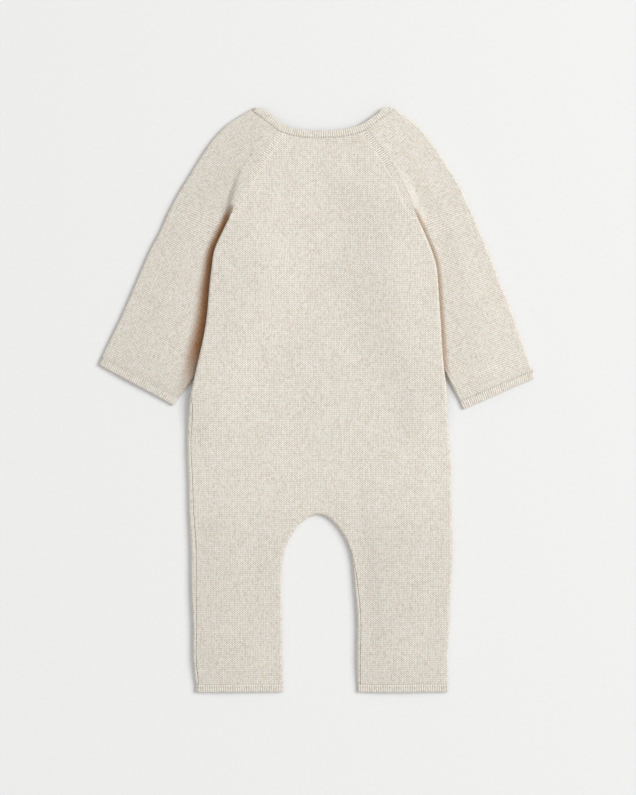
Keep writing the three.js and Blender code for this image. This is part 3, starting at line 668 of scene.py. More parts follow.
@dataclass
class Stitches:
    """Points along a row of the cloth, before they have their height."""

    NAMES: ClassVar[tuple[str, ...]] = ("plan", "at", "angle", "upper", "flat")

    plan: Array  # where each point lies, seen from above
    at: Array  # where its height is read
    angle: Array  # how far round a fold it is, or nan where it is flat
    upper: Array  # whether it is on the upper layer
    flat: Array  # its place in the unfolded cloth

    @classmethod
    def join(cls, parts: Sequence["Stitches"]) -> "Stitches":
        """Several runs as one."""
        return cls(*(np.concatenate([getattr(part, name) for part in parts]) for name in cls.NAMES))

    def back(self) -> "Stitches":
        """The same run from its other end."""
        return self[::-1]

    def __getitem__(self, key: Any) -> "Stitches":
        """Some of the points."""
        return Stitches(*(getattr(self, name)[key] for name in self.NAMES))

    def __len__(self) -> int:
        """How many points there are."""
        return len(self.plan)

    def height(self, heights: Heights, wall: float) -> Array:
        """The height of the cloth's middle at each point."""
        folded = ~np.isnan(self.angle)
        bottom = heights.bottom(self.at)
        top = heights.top(self.at)
        radius = (heights.loft - wall) / 2
        rise = np.sin(np.where(folded, self.angle, 0.0))
        round_fold = bottom + heights.loft / 2 + radius * np.sign(rise) * np.abs(rise) ** FOLD_SQUARENESS
        plain = np.where(self.upper, top - wall / 2, bottom + wall / 2)
        return np.where(folded, round_fold, plain)


def fold_run(end: RowEnd, distances: Array, piece: Layer) -> Stitches:
    """Points of the cloth at distances round a fold, above 0 on the upper layer.

    Args:
        end: the row's end.
        distances: lengths of cloth from the middle of the fold.
        piece: the layer that the piece mainly belongs to.

    Returns:
        The points.
    """
    distances = np.asarray(distances, float)
    over = np.abs(distances) - end.quarter
    flat = over >= -1e-9
    out = end.outward[None]
    level = end.base - out * over[:, None]
    reach = np.maximum(np.cos(distances / end.radius), 0.0) ** FOLD_SQUARENESS
    turned = end.base + out * (end.radius * reach)[:, None]
    at = np.where(flat[:, None], level, end.base)
    angle = np.where(flat, np.nan, distances / end.radius)
    unrolled = end.base + out * (end.quarter - piece.value * distances)[:, None]
    return Stitches(np.where(flat[:, None], level, turned), at, angle, distances > 0, unrolled)


def flat_run(start: Array, end: Array, parts: Array, upper: bool) -> Stitches:
    """Points of flat cloth between two places of the plan."""
    plan = start + (end - start) * parts[:, None]
    count = len(parts)
    return Stitches(plan, plan.copy(), np.full(count, np.nan), np.full(count, upper), plan.copy())


@dataclass
class Knit:
    """A piece of knit, as four-sided faces on shared points of its middle surface."""

    wall: float
    points: list[Array] = field(default_factory=list)
    flats: list[Array] = field(default_factory=list)
    faces: list[Array] = field(default_factory=list)
    count: int = 0

    def add(self, xyz: Array, flat: Array, flip: bool = False) -> None:
        """Adds a grid of points.

        Args:
            xyz: rows by columns of points, with their height.
            flat: their places in the unfolded cloth.
            flip: whether the outside is down where rows run down and columns to the right.
        """
        rows, columns = xyz.shape[:2]
        ids = np.arange(rows * columns).reshape(rows, columns) + self.count
        quads = np.stack([ids[:-1, :-1], ids[1:, :-1], ids[1:, 1:], ids[:-1, 1:]], axis=-1).reshape(-1, 4)
        self.points.append(xyz.reshape(-1, 3))
        self.flats.append(flat.reshape(-1, 2))
        self.faces.append(quads[:, ::-1] if flip else quads)
        self.count += rows * columns

    def welded(self) -> tuple[Array, Array, Array]:
        """The points without doubles, their places in the unfolded cloth, and the faces."""
        points = np.vstack(self.points)
        _, first, same = np.unique(np.round(points, 3), axis=0, return_index=True, return_inverse=True)
        faces = same.reshape(-1)[np.vstack(self.faces)]
        return points[first], np.vstack(self.flats)[first], faces

    def make(self, name: str) -> bpy.types.Object:
        """Makes the piece an object in the frame, with its wall and rounded edges.

        Args:
            name: the object's name.

        Returns:
            The object. Its UV maps hold the unfolded cloth, and how far each point lies from the
            nearest raglan seam or side fold of the body, with the length along that.
        """
        points, flat, faces = self.welded()
        maps = {"cloth": flat}
        for title, line in (("raglan", PATTERN.raglan), ("tuck", PATTERN.fold)):
            left, right = (place_on_line(points[:, :2], line(side)) for side in Side)
            maps[title] = np.column_stack([np.where(left[0] < right[0], left[i], right[i]) for i in (0, 1)])
        points = LAY.settle(points)
        metres = (points + [CENTRE_LINE_X, NECK_PEAKS_Y, 0.0]) * MM
        mesh = bpy.data.meshes.new(name)
        mesh.from_pydata(metres.tolist(), [], faces.tolist())
        mesh.polygons.foreach_set("use_smooth", [True] * len(mesh.polygons))
        corners = np.zeros(len(mesh.loops), dtype=np.int32)
        mesh.loops.foreach_get("vertex_index", corners)
        for title, places in maps.items():
            layer = mesh.uv_layers.new(name=title)
            layer.data.foreach_set("uv", (places[corners] * MM).astype(np.float32).ravel())
        piece = bpy.data.objects.new(name, mesh)
        bpy.context.scene.collection.objects.link(piece)
        wall = piece.modifiers.new("wall", "SOLIDIFY")
        wall.thickness = self.wall * MM
        wall.offset = 0.0
        wall.use_even_offset = True
        wall.use_quality_normals = True
        rounding = piece.modifiers.new("rounding", "SUBSURF")
        rounding.levels = rounding.render_levels = 1
        return piece


def with_height(rows: Sequence[Stitches], heights: Heights, wall: float) -> tuple[Array, Array]:
    """A grid's points with their height, and their places in the unfolded cloth."""
    joined = Stitches.join(rows)
    xyz = np.column_stack([joined.plan, joined.height(heights, wall)])
    shape = (len(rows), len(rows[0]))
    return xyz.reshape(*shape, 3), joined.flat.reshape(*shape, 2)


def linear(colour: str) -> tuple[float, float, float, float]:
    """An sRGB hex colour as linear light."""
    values = [int(colour.lstrip("#")[i : i + 2], 16) / 255 for i in (0, 2, 4)]
    lit = [v / 12.92 if v <= 0.04045 else ((v + 0.055) / 1.055) ** 2.4 for v in values]
    return (*lit, 1.0)


def add_node(
    tree: bpy.types.NodeTree, kind: str, inputs: dict[Any, Any] | None = None, **settings: Any
) -> bpy.types.Node:
    """Adds a node with its settings and links.

    Args:
        tree: the nodes of a material or of the world.
        kind: the node's type without ShaderNode before it, such as Math.
        inputs: for each input socket a value, the output socket that is linked to it, or the node
            whose first output is.
        settings: the node's own properties.

    Returns:
        The node.
    """
    node = tree.nodes.new("ShaderNode" + kind)
    for name, value in settings.items():
        setattr(node, name, value)
    for key, value in (inputs or {}).items():
        source = value.outputs[0] if isinstance(value, bpy.types.Node) else value
        if isinstance(source, bpy.types.NodeSocket):
            tree.links.new(source, node.inputs[key])
        else:
            node.inputs[key].default_value = source
    return node


def empty_material(name: str) -> tuple[bpy.types.Material, Adder]:
    """A material without nodes, and the function that adds one to it."""
    material = bpy.data.materials.new(name)
    material.use_nodes = True
    material.node_tree.nodes.clear()
    return material, partial(add_node, material.node_tree)


def ramp_limits(near: float, far: float, first: float, last: float) -> dict[str, float]:
    """The limits of a map from distances in millimetres to values."""
    return {"From Min": near * MM, "From Max": far * MM, "To Min": first, "To Max": last}


@dataclass(frozen=True)
class MelangeKnit:
    """Plain stitches in a soft wool and cotton yarn that is spun from fibres of several colours.

    Each stitch is a small V with light legs and hollows darkened by painted shade.  Each leg has its own
    mix of the fibres, so the cloth is speckled and quite matt, with a faint bloom of loose fibre on top.
    The real stitches are finer: they are drawn as coarse as they need to be to show.
    """

    name: str = "melange stocking stitch"
    # how light the whole cloth is; below 1, as on the left sleeve and cuff, it is painted shade
    tone: float = 1.0
    leg_tone: float = 0.94
    leg_starts: float = 335.0  # the levels from which and at which the legs have that tone
    leg_full: float = 430.0
    wale: float = 2.4  # from one column of stitches to the next
    course: float = 1.95  # from one row of stitches to the next
    slack: float = 0.2  # how far the yarn strays, in stitches
    slant: float = 1.7  # how far the legs of the V reach along the column, as a turn of the wave
    groove: float = 0.1  # how deep it is between two columns
    hollow_shade: float = 0.66  # how light the painted shade leaves the hollows of the stitches
    relief: float = 0.22  # how high the stitches stand
    stray_scale: float = 160.0  # of the noise, by the metre, as for the three below
    fibres: tuple[float, float, float] = (420.0, 2.0, 0.65)  # its scale, detail and roughness
    clouds: tuple[float, float, float] = (45.0, 4.0, 0.6)
    hues: tuple[float, float, float] = (150.0, 4.0, 0.75)
    mixed: tuple[float, float, float] = (0.4, 0.6, 0.15)  # how much specks, fibres and clouds count
    darkest: float = -0.075  # what their sum starts from
    hue_play: tuple[float, float, float] = (0.16, 0.14, 0.12)
    hue_least: tuple[float, float, float] = (0.923, 0.936, 0.943)  # red, green and blue, plus the play
    ladder: float = 0.0  # how strongly the band along the raglan seams shows
    rung: float = 2.1  # from one rung of that band to the next
    rung_ends: tuple[float, ...] = (4.8, 6.0, 1.0, 0.0)  # off the seam: from, to, strength there
    ladder_fades: tuple[float, ...] = (26.0, 60.0, 1.0, 0.25)  # the same down the seam
    ladder_edge: tuple[float, float] = (6.4, 1.3)  # the light line beside them: distance, width
    marks: float = 1.0  # how light the small holes of the narrowed stitches are
    first_mark: tuple[float, float] = (8.8, 14.0)  # how far from the seam and along it
    mark_step: float = 19.0  # from one of them to the next
    mark_radius: float = 1.9
    painted_shadow_tint: str = ""  # painted shadow: the warm dark shade that the body casts on the cloth next to it
    painted_shadow_widths: tuple[float, float] = (8.0, 16.0)  # its widths below the armpit and at the cuff
    painted_shadow_grows: tuple[float, float] = (20.0, 130.0)  # from where to where it grows that wide
    painted_shadow_core: float = 0.25  # the part of the width that has the full shade
    painted_shadow_starts: tuple[float, ...] = (-12.0, 8.0, 0.0, 1.0)  # down the fold: from, to, strength there
    painted_shadow_stops: tuple[float, ...] = (125.0, 175.0, 1.0, 0.35)
    lines: tuple[tuple[float, float, float], ...] = ()  # distance from the sewn edge, width, tone
    shades: tuple[tuple[float, str], ...] = (
        (0.0, "#c4b8a4"),
        (0.2, "#dcd2c2"),
        (0.4, "#e9e1d4"),
        (0.6, "#f1eadf"),
        (0.8, "#f6f1e8"),
        (1.0, "#fcf9f2"),
    )

    def make(self) -> bpy.types.Material:
        """Builds the material."""
        material, add = empty_material(self.name)
        cloth = add("UVMap", uv_map="cloth")
        columns, step, stitch = self.stitches(add, cloth)
        shade = self.painted_shade_and_seams(add, cloth, stitch)
        colour = add("VectorMath", {0: self.yarn(add, cloth, columns, step), 1: shade}, **TIMES)
        # the painted shadow that the body casts beside it
        if self.painted_shadow_tint:
            colour = add("VectorMath", {0: colour, 1: self.painted_fold_shadow(add)}, **TIMES)
        bump = add("Bump", {"Height": stitch, "Strength": 1.0, "Distance": self.relief * MM})
        values = {"Roughness": 0.95, "IOR": 1.5, "Specular IOR Level": 0.15}
        values |= {"Sheen Weight": 0.15, "Sheen Roughness": 0.6}
        surface = add("BsdfPrincipled", {"Base Color": colour, "Normal": bump, **values})
        add("OutputMaterial", {"Surface": surface})
        return material

    def stitches(self, add: Adder, cloth: bpy.types.Node) -> tuple[bpy.types.Node, ...]:
        """The pattern of the stitches.

        Args:
            add: adds a node to the material.
            cloth: the place in the unfolded cloth, in metres.

        Returns:
            The turns of the wave across the columns, those along the legs of the V, and the
            stitches' height from 0 to 1.
        """
        noise = {"Vector": cloth, "Scale": self.stray_scale, "Detail": 1.0}
        stray = add("TexNoise", noise, noise_dimensions="2D")
        turn = 2 * math.pi
        rates = (turn / MM / self.wale, turn / MM / self.course, 0.0)
        reach = (turn * self.slack, turn * self.slack, 0.0)
        counted = add("VectorMath", {0: cloth, 1: rates}, **TIMES)
        strayed = add("VectorMath", {0: stray.outputs["Color"], 1: reach, 2: counted}, **TIMES_PLUS)
        turns = add("SeparateXYZ", {0: strayed})
        between = add("Math", {0: turns}, operation="COSINE")
        step = add("Math", {0: between, 1: self.slant, 2: turns.outputs[1]}, **TIMES_PLUS)
        wave = add("Math", {0: step}, operation="SINE")
        ridge = add("Math", {0: wave, 1: 0.5 - self.groove, 2: 0.5}, **TIMES_PLUS)
        stitch = add("Math", {0: between, 1: -self.groove, 2: ridge}, **TIMES_PLUS)
        return turns, step, stitch

    def yarn(self, add: Adder, cloth: Any, columns: Any, step: Any) -> bpy.types.Node:
        """The colour of the mixed fibres, which differs from stitch to stitch and within each."""
        place = add("CombineXYZ", {0: columns, 1: step})
        legs = add("VectorMath", {0: place, 1: (1 / math.pi, 0.5 / math.pi, 0.0)}, **TIMES)
        whole = add("VectorMath", {0: legs}, operation="FLOOR")
        speck = add("TexWhiteNoise", {"Vector": whole}, noise_dimensions="2D")
        noises = []
        for scale, detail, roughness in (self.fibres, self.clouds, self.hues):
            values = {"Vector": cloth, "Scale": scale, "Detail": detail, "Roughness": roughness}
            noises.append(add("TexNoise", values, noise_dimensions="2D"))
        fibre, cloud, hue = noises
        blend = self.darkest
        for source, share in zip((speck, fibre, cloud), self.mixed):
            blend = add("Math", {0: source, 1: share, 2: blend}, **TIMES_PLUS)
        ramp = add("ValToRGB", {"Fac": blend})
        self.fill_ramp(ramp.color_ramp)
        tints = {0: hue.outputs["Color"], 1: self.hue_play, 2: self.hue_least}
        tint = add("VectorMath", tints, **TIMES_PLUS)
        return add("VectorMath", {0: ramp, 1: tint}, **TIMES)

    def painted_shade_and_seams(self, add: Adder, cloth: Any, stitch: Any) -> bpy.types.Node:
        """How light each place is: painted shade in the hollows of the stitches and, through the tone, on the
        left sleeve; lines along the seams; and the legs.
        """
        # painted shade in the hollows of the stitches
        shade = add("MapRange", {"Value": stitch, "To Min": self.hollow_shade})
        down = add("SeparateXYZ", {0: cloth}).outputs[1]
        limits = ramp_limits(-self.leg_starts, -self.leg_full, self.tone, self.tone * self.leg_tone)
        factors = [add("MapRange", {"Value": down, **limits}, **SOFT)]
        if self.lines:
            drop = add("Math", {0: down}, operation="ABSOLUTE")
            factors += [self.line(add, drop, *line) for line in self.lines]
        if self.ladder > 0:
            factors.append(self.raglan_ladder(add))
        if self.marks < 1:
            factors.append(self.raglan_marks(add))
        for factor in factors:
            shade = add("Math", {0: shade, 1: factor}, **TIMES)
        return shade

    def line(self, add: Adder, place: Any, distance: float, width: float, tone: float) -> bpy.types.Node:
        """A soft line at a distance, as a factor that is the tone on it and 1 past its width."""
        away = add("Math", {0: place, 1: distance * MM}, operation="SUBTRACT")
        beside = add("Math", {0: away}, operation="ABSOLUTE")
        return add("MapRange", {"Value": beside, **ramp_limits(0.0, width, tone, 1.0)}, **SOFT)

    def raglan_ladder(self, add: Adder) -> bpy.types.Node:
        """The turned stitches along a raglan seam, like short rungs that fade down the seam."""
        away, along = add("SeparateXYZ", {0: add("UVMap", uv_map="raglan")}).outputs[:2]
        turn = add("Math", {0: along, 1: 2 * math.pi / (self.rung * MM)}, **TIMES)
        rungs = add("Math", {0: turn}, operation="SINE")
        for place, fade in ((away, self.rung_ends), (along, self.ladder_fades)):
            held = add("MapRange", {"Value": place, **ramp_limits(*fade)}, **SOFT)
            rungs = add("Math", {0: rungs, 1: held}, **TIMES)
        dark = add("Math", {0: rungs, 1: -0.5 * self.ladder, 2: 1.0}, **TIMES_PLUS)
        line = self.line(add, away, *self.ladder_edge, 1 + 0.2 * self.ladder)
        return add("Math", {0: dark, 1: line}, **TIMES)

    def painted_fold_shadow(self, add: Adder) -> bpy.types.NodeSocket:
        """Painted shadow: the warm dark shade that the body's edge casts on a sleeve where the sleeve goes in
        below the body, fainter at the cuff.
        """
        away, along = add("SeparateXYZ", {0: add("UVMap", uv_map="tuck")}).outputs[:2]
        shadow_widths = (width * MM for width in self.painted_shadow_widths)
        width = add("MapRange", {"Value": along, **ramp_limits(*self.painted_shadow_grows, *shadow_widths)})
        share = add("Math", {0: away, 1: width}, operation="DIVIDE")
        limits = {"From Min": self.painted_shadow_core, "To Min": 1.0, "To Max": 0.0}
        held = add("MapRange", {"Value": share, **limits}, **SOFT)
        for fade in (self.painted_shadow_starts, self.painted_shadow_stops):
            part = add("MapRange", {"Value": along, **ramp_limits(*fade)}, **SOFT)
            held = add("Math", {0: held, 1: part}, **TIMES)
        colours = {6: (1.0, 1.0, 1.0, 1.0), 7: linear(self.painted_shadow_tint)}
        return add("Mix", {"Factor": held, **colours}, data_type="RGBA").outputs[2]

    def raglan_marks(self, add: Adder) -> bpy.types.Node:
        """The small holes in a row beside a raglan seam, where stitches were taken together."""
        first = tuple(distance * MM for distance in (*self.first_mark, 0.0))
        moved = add("VectorMath", {0: add("UVMap", uv_map="raglan"), 1: first}, operation="SUBTRACT")
        place = add("SeparateXYZ", {0: moved})
        along = add("Math", {0: place.outputs[1], 1: self.mark_step / 2 * MM}, operation="PINGPONG")
        spot = add("CombineXYZ", {0: place, 1: along})
        away = add("VectorMath", {0: spot}, operation="LENGTH").outputs["Value"]
        return add("MapRange", {"Value": away, **ramp_limits(0.0, self.mark_radius, self.marks, 1.0)}, **SOFT)

    def fill_ramp(self, ramp: bpy.types.ColorRamp) -> None:
        """Puts the yarn's shades on a ramp."""
        while len(ramp.elements) > 1:
            ramp.elements.remove(ramp.elements[-1])
        first = ramp.elements[0]
        first.position, first.color = self.shades[0][0], linear(self.shades[0][1])
        for position, colour in self.shades[1:]:
            ramp.elements.new(position).color = linear(colour)


@dataclass(frozen=True)
class StudioPaper:
    """Matt off-white background paper, quite even and without gloss."""

    name: str = "background paper"
    colour: str = "#e7e7e6"

    def make(self) -> bpy.types.Material:
        """Builds the material."""
        material, add = empty_material(self.name)
        place = add("TexCoord").outputs["Object"]
        grain = add("TexNoise", {"Vector": place, "Scale": 300.0, "Detail": 2.0})
        tint = add("MapRange", {"Value": grain, "To Min": 0.97, "To Max": 1.03})
        colours = {"Factor": 1.0, 6: linear(self.colour), 7: tint}
        colour = add("Mix", colours, data_type="RGBA", blend_type="MULTIPLY").outputs[2]
        surface = add("BsdfPrincipled", {"Base Color": colour, "Roughness": 0.9, "Specular IOR Level": 0.1})
        add("OutputMaterial", {"Surface": surface})
        return material


def dress(piece: bpy.types.Object, material: bpy.types.Material, slot: str, *nodes: str) -> None:
    """Gives a piece its material, hangs it from the root body and hides the CAD nodes that it stands for.

    Args:
        piece: the finished piece.
        material: its material.
        slot: not used.
        nodes: the CAD nodes that it replaces.
    """
    piece.data.materials.append(material)
    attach(piece, ROOT)
    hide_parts(*nodes)
    log.info("%s: %d faces", piece.name, len(piece.data.polygons))


@dataclass
class BodyPanel(Piece):
    """The back or the front panel: one piece from the neck over the torso to both ankles."""

    layer: Layer
    neck: Neck
    neck_fades: float  # how far below the neck the rows are straight
    row_step: float = 4.0
    strip: float = 12.0  # the length of cloth beside a fold that has its own points
    strip_steps: int = 8
    leg_columns: int = 17
    crotch_columns: int = 12
    leg_rows: int = 42
    crotch_from: float = 0.43  # the part of the inseam that counts as the crotch
    crotch_to: float = 0.56
    crotch_side_down: float = 366.0
    last_torso_down: float = 346.0
    armpit_turn: float = 16.0  # over what length the side seam becomes a fold
    side_gap: float = 0.09
    least_turn: float = 0.01

    def strip_at(self, end: RowEnd, stop: float) -> Stitches:
        """The run of a row from its flat part round the fold to where the piece ends."""
        sign = self.layer.value
        turns = stop * sign < end.quarter - self.least_turn
        second = sign * end.quarter if turns else mix(sign * self.strip, stop, 0.5)
        stops = [sign * self.strip, mix(sign * self.strip, second, SECOND_POINT)]
        stops += list(np.linspace(second, stop, self.strip_steps))
        return fold_run(end, np.array(stops), self.layer)

    def side_strip(self, side: Side, down: float) -> Stitches:
        """A row's strip at one side of the body, whose fold grows below the armpit."""
        turned = float(smooth_step((down - PATTERN.armpit_down) / self.armpit_turn))
        quarter = (LAY.body_loft - self.wall) / 2 * math.pi / 2
        seam = PATTERN.seam_left if side is Side.LEFT else PATTERN.seam_right
        sewn = float(seam(down)) + self.layer.value * self.side_gap / 2
        stop = mix(self.layer.value * quarter, sewn, turned)
        bent = turned
        if self.layer is Layer.UPPER:
            bent = max(turned, math.cos(np.clip(stop / quarter, 0, 1) * math.pi / 2))
        outward = np.array([side.value, 0.0])
        return self.strip_at(self.end(PATTERN.edge(side, down), outward, LAY.body_loft, bent), stop)

    def inseam_strip(self, part: float) -> Stitches:
        """A row's strip at the legs' inner edge."""
        curve = PATTERN.inseam
        end = self.end(curve.at(part), curve.outward(part), LAY.body_loft)
        return self.strip_at(end, float(curve.seam(part)) + self.layer.value * self.side_gap / 2)

    def leg_row(self, side: Side, row: int) -> Stitches:
        """One row of a leg, from the side to the inseam on the left leg and the other way on the right."""
        share = row / self.leg_rows
        hem = self.seam_gap / 2 / PATTERN.inseam.length
        ends = (self.crotch_from, hem) if side is Side.LEFT else (self.crotch_to, 1 - hem)
        inner = self.inseam_strip(mix(*ends, share))
        down = mix(self.crotch_side_down, PATTERN.hem_down - self.seam_gap / 2, share)
        outer = self.side_strip(side, down)
        parts = np.arange(1, self.leg_columns) / self.leg_columns
        middle = flat_run(outer.plan[0], inner.plan[0], parts, self.layer is Layer.UPPER)
        row_points = Stitches.join([outer.back(), middle, inner])
        return row_points if side is Side.LEFT else row_points.back()

    def torso_row(self, down: float, parts: Array) -> Stitches:
        """One row of the torso, sunk towards the middle near the neck."""
        left, right = (self.side_strip(side, down) for side in Side)
        middle = flat_run(left.plan[0], right.plan[0], parts, self.layer is Layer.UPPER)
        row = Stitches.join([left.back(), middle, right])
        sink = self.neck.depth * max(1 - (down - self.neck.down) / self.neck_fades, 0)
        if sink > 0:
            ends = row.plan[0, 0], row.plan[-1, 0]
            across = (row.plan[:, 0] - ends[0]) / (ends[1] - ends[0])
            drop = sink * (1 - np.abs(2 * across - 1) ** self.neck.power)
            for points in (row.plan, row.at, row.flat):
                points[:, 1] -= drop
        return row

    def levels(self) -> list[float]:
        """How far down each row of the torso is, closest together where the side fold grows."""
        start = self.neck.down + self.seam_gap / 2
        stops = [start, PATTERN.armpit_down, PATTERN.armpit_down + self.armpit_turn, self.last_torso_down]
        levels = [start]
        for low, high in zip(stops, stops[1:]):
            step = self.row_step if high - low > self.armpit_turn else self.row_step / 2
            levels += list(np.linspace(low, high, max(1, round((high - low) / step)) + 1)[1:])
        return levels

    def build(self) -> bpy.types.Object:
        """Lays out the panel and makes its object."""
        shares = [i / self.crotch_columns for i in range(self.crotch_columns + 1)]
        crotch = [self.inseam_strip(mix(self.crotch_from, self.crotch_to, share)) for share in shares]
        legs = {side: [self.leg_row(side, row) for row in range(self.leg_rows + 1)] for side in Side}
        size = len(crotch[0])
        first_points = Stitches.join([strip[:1] for strip in crotch])
        above = Stitches.join([legs[Side.LEFT][0][:-size], first_points, legs[Side.RIGHT][0][size:]])
        flat_x = above.plan[size - 1 : len(above) - size + 1, 0]
        parts = ((flat_x - flat_x[0]) / (flat_x[-1] - flat_x[0]))[1:-1]
        torso = [self.torso_row(float(down), parts) for down in self.levels()]
        steps = max(1, round((self.crotch_side_down - self.last_torso_down) / self.row_step))
        torso += [self.between(torso[-1], above, i / steps) for i in range(1, steps)]
        heights = body_heights()
        knit = Knit(self.wall)
        flip = self.layer is Layer.LOWER
        knit.add(*with_height([*torso, above], heights, self.wall), flip)
        for side in Side:
            knit.add(*with_height(legs[side], heights, self.wall), flip)
        across = [Stitches.join([strip[i : i + 1] for strip in crotch]) for i in range(size)]
        knit.add(*with_height(across, heights, self.wall), flip)
        return knit.make("back_panel_knit" if self.layer is Layer.UPPER else "front_panel_knit")

    def between(self, above: Stitches, below: Stitches, part: float) -> Stitches:
        """A row part of the way between two others."""
        pairs = ((getattr(above, name), getattr(below, name)) for name in ("plan", "at", "angle", "flat"))
        plan, at, angle, flat = (mix(*pair, part) for pair in pairs)
        return Stitches(plan, at, angle, above.upper, flat)


@dataclass
class Sleeve(Piece):
    """A sleeve: one piece folded over the arm, its ends meeting at the underarm seam."""

    side: Side
    seam: float  # how far the underarm seam lies from the fold
    strip: float = 12.0  # the length of cloth beside a fold that has its own points
    strip_steps: int = 6
    top_columns: int = 22
    under_columns: int = 10
    fold_steps: int = 8
    row_step: float = 4.0

    def fine_stations(self) -> list[tuple[Array, Array, Array, float, float]]:
        """Rows down the sleeve, closer than the table's.

        Returns:
            For each row its end over the arm, the other end on the upper layer and on the lower
            one, whether the cloth folds there, and the length down the arm so far.
        """
        rows = PATTERN.stations(self.side)
        ends = [PATTERN.ends(self.side, row) for row in rows]
        fine = []
        length = 0.0
        for i in range(len(rows) - 1):
            span = float(np.linalg.norm(ends[i + 1][0] - ends[i][0]))
            steps = max(1, round(span / self.row_step))
            for s in range(steps):
                share = s / steps
                over = self.curved([end[0] for end in ends], i, share)
                under = self.under_at(rows, ends, i, share)
                lower = self.lower_at(rows, i, share, under)
                folded = float(isinstance(rows[i], ArmStation) and rows[i].folded)
                fine.append((over, under, lower, folded, length + span * share))
            length += span
        over, under = ends[-1]
        fine.append((over, under, under, 1.0, length))
        return fine

    def curved(self, line: Sequence[Array], i: int, share: float) -> Array:
        """A point between two corners of a line, on a smooth curve through them all."""
        last = line[min(i + 2, len(line) - 1)]
        return curve_between(line[max(i - 1, 0)], line[i], line[i + 1], last, share)

    def under_at(self, rows: Sequence[Any], ends: Sequence[Any], i: int, share: float) -> Array:
        """The row's end at the raglan seam or the underarm edge."""
        if isinstance(rows[i + 1], RaglanStation):
            return PATTERN.edge(self.side, mix(rows[i].raglan_down, rows[i + 1].raglan_down, share))
        return mix(ends[i][1], ends[i + 1][1], share)

    def lower_at(self, rows: Sequence[Any], i: int, share: float, under: Array) -> Array:
        """The same end on the lower layer, whose neck edge starts further down."""
        if not isinstance(rows[i + 1], RaglanStation):
            return under
        down = mix(rows[i].raglan_down, rows[i + 1].raglan_down, share)
        if down >= PATTERN.front_raglan_join:
            return under
        part = (down - BACK_NECK.down) / (PATTERN.front_raglan_join - BACK_NECK.down)
        return PATTERN.edge(self.side, mix(FRONT_NECK.down, PATTERN.front_raglan_join, part))

    def row(self, over: Array, under: Array, lower: Array, folded: float) -> Stitches:
        """One row all round, from the upper seam over the arm's fold to the lower seam."""
        across, lower_across = unit(under - over), unit(lower - over)
        upper_end = self.end(under, across, LAY.sleeve_loft, folded)
        lower_end = self.end(lower, lower_across, LAY.sleeve_loft, folded)
        quarter = upper_end.quarter
        upper_stop = self.seam + self.seam_gap / 2 if folded else quarter
        lower_stop = self.seam - self.seam_gap / 2 if folded else -quarter
        upper_strip = fold_run(upper_end, self.stops(self.strip, upper_stop, quarter), Layer.UPPER)
        lower_strip = fold_run(lower_end, self.stops(-self.strip, lower_stop, quarter), Layer.LOWER)
        turns = [self.strip, mix(self.strip, quarter, SECOND_POINT)]
        turns += list(np.linspace(quarter, -quarter, self.fold_steps + 1))
        turns += [mix(-self.strip, -quarter, SECOND_POINT), -self.strip]
        turn = []
        for distance in turns:
            inward = unit(mix(across, lower_across, (1 - distance / self.strip) / 2))
            end = self.end(over, -inward, LAY.sleeve_loft)
            turn.append(fold_run(end, np.array([distance]), Layer.UPPER))
        parts = [np.arange(1, count) / count for count in (self.top_columns, self.under_columns)]
        top = flat_run(upper_strip.plan[0], turn[0].plan[0], parts[0], True)
        below = flat_run(turn[-1].plan[0], lower_strip.plan[0], parts[1], False)
        return Stitches.join([upper_strip.back(), top, *turn, below, lower_strip])

    def stops(self, start: float, stop: float, quarter: float) -> Array:
        """Distances of a strip's points, closest together on the fold."""
        sign = math.copysign(1.0, start)
        turns = stop * sign < quarter
        second = sign * quarter if turns else mix(start, stop, 1 / self.strip_steps)
        rest = np.linspace(second, stop, self.strip_steps)
        return np.array([start, mix(start, second, SECOND_POINT), *rest])

    def build(self) -> bpy.types.Object:
        """Lays out the sleeve and makes its object."""
        stations = self.fine_stations()
        rows = [self.row(*station[:4]) for station in stations]
        first = rows[0]
        for points in (first.plan, first.at):
            points += np.array([self.side.value, -1.0]) * self.seam_gap / 2
        xyz, _ = with_height(rows, sleeve_heights(self.side), self.wall)
        along = running_sum(step_lengths(xyz))
        middle = self.strip_steps + 2 + self.top_columns + 1 + self.fold_steps // 2
        along -= along[:, middle : middle + 1]
        down_arm = np.array([station[4] for station in stations])[:, None] * np.ones_like(along)
        knit = Knit(self.wall)
        knit.add(xyz, np.stack([along, -down_arm], axis=-1), self.side is Side.LEFT)
        return knit.make(f"sleeve_{self.side.word}_knit")


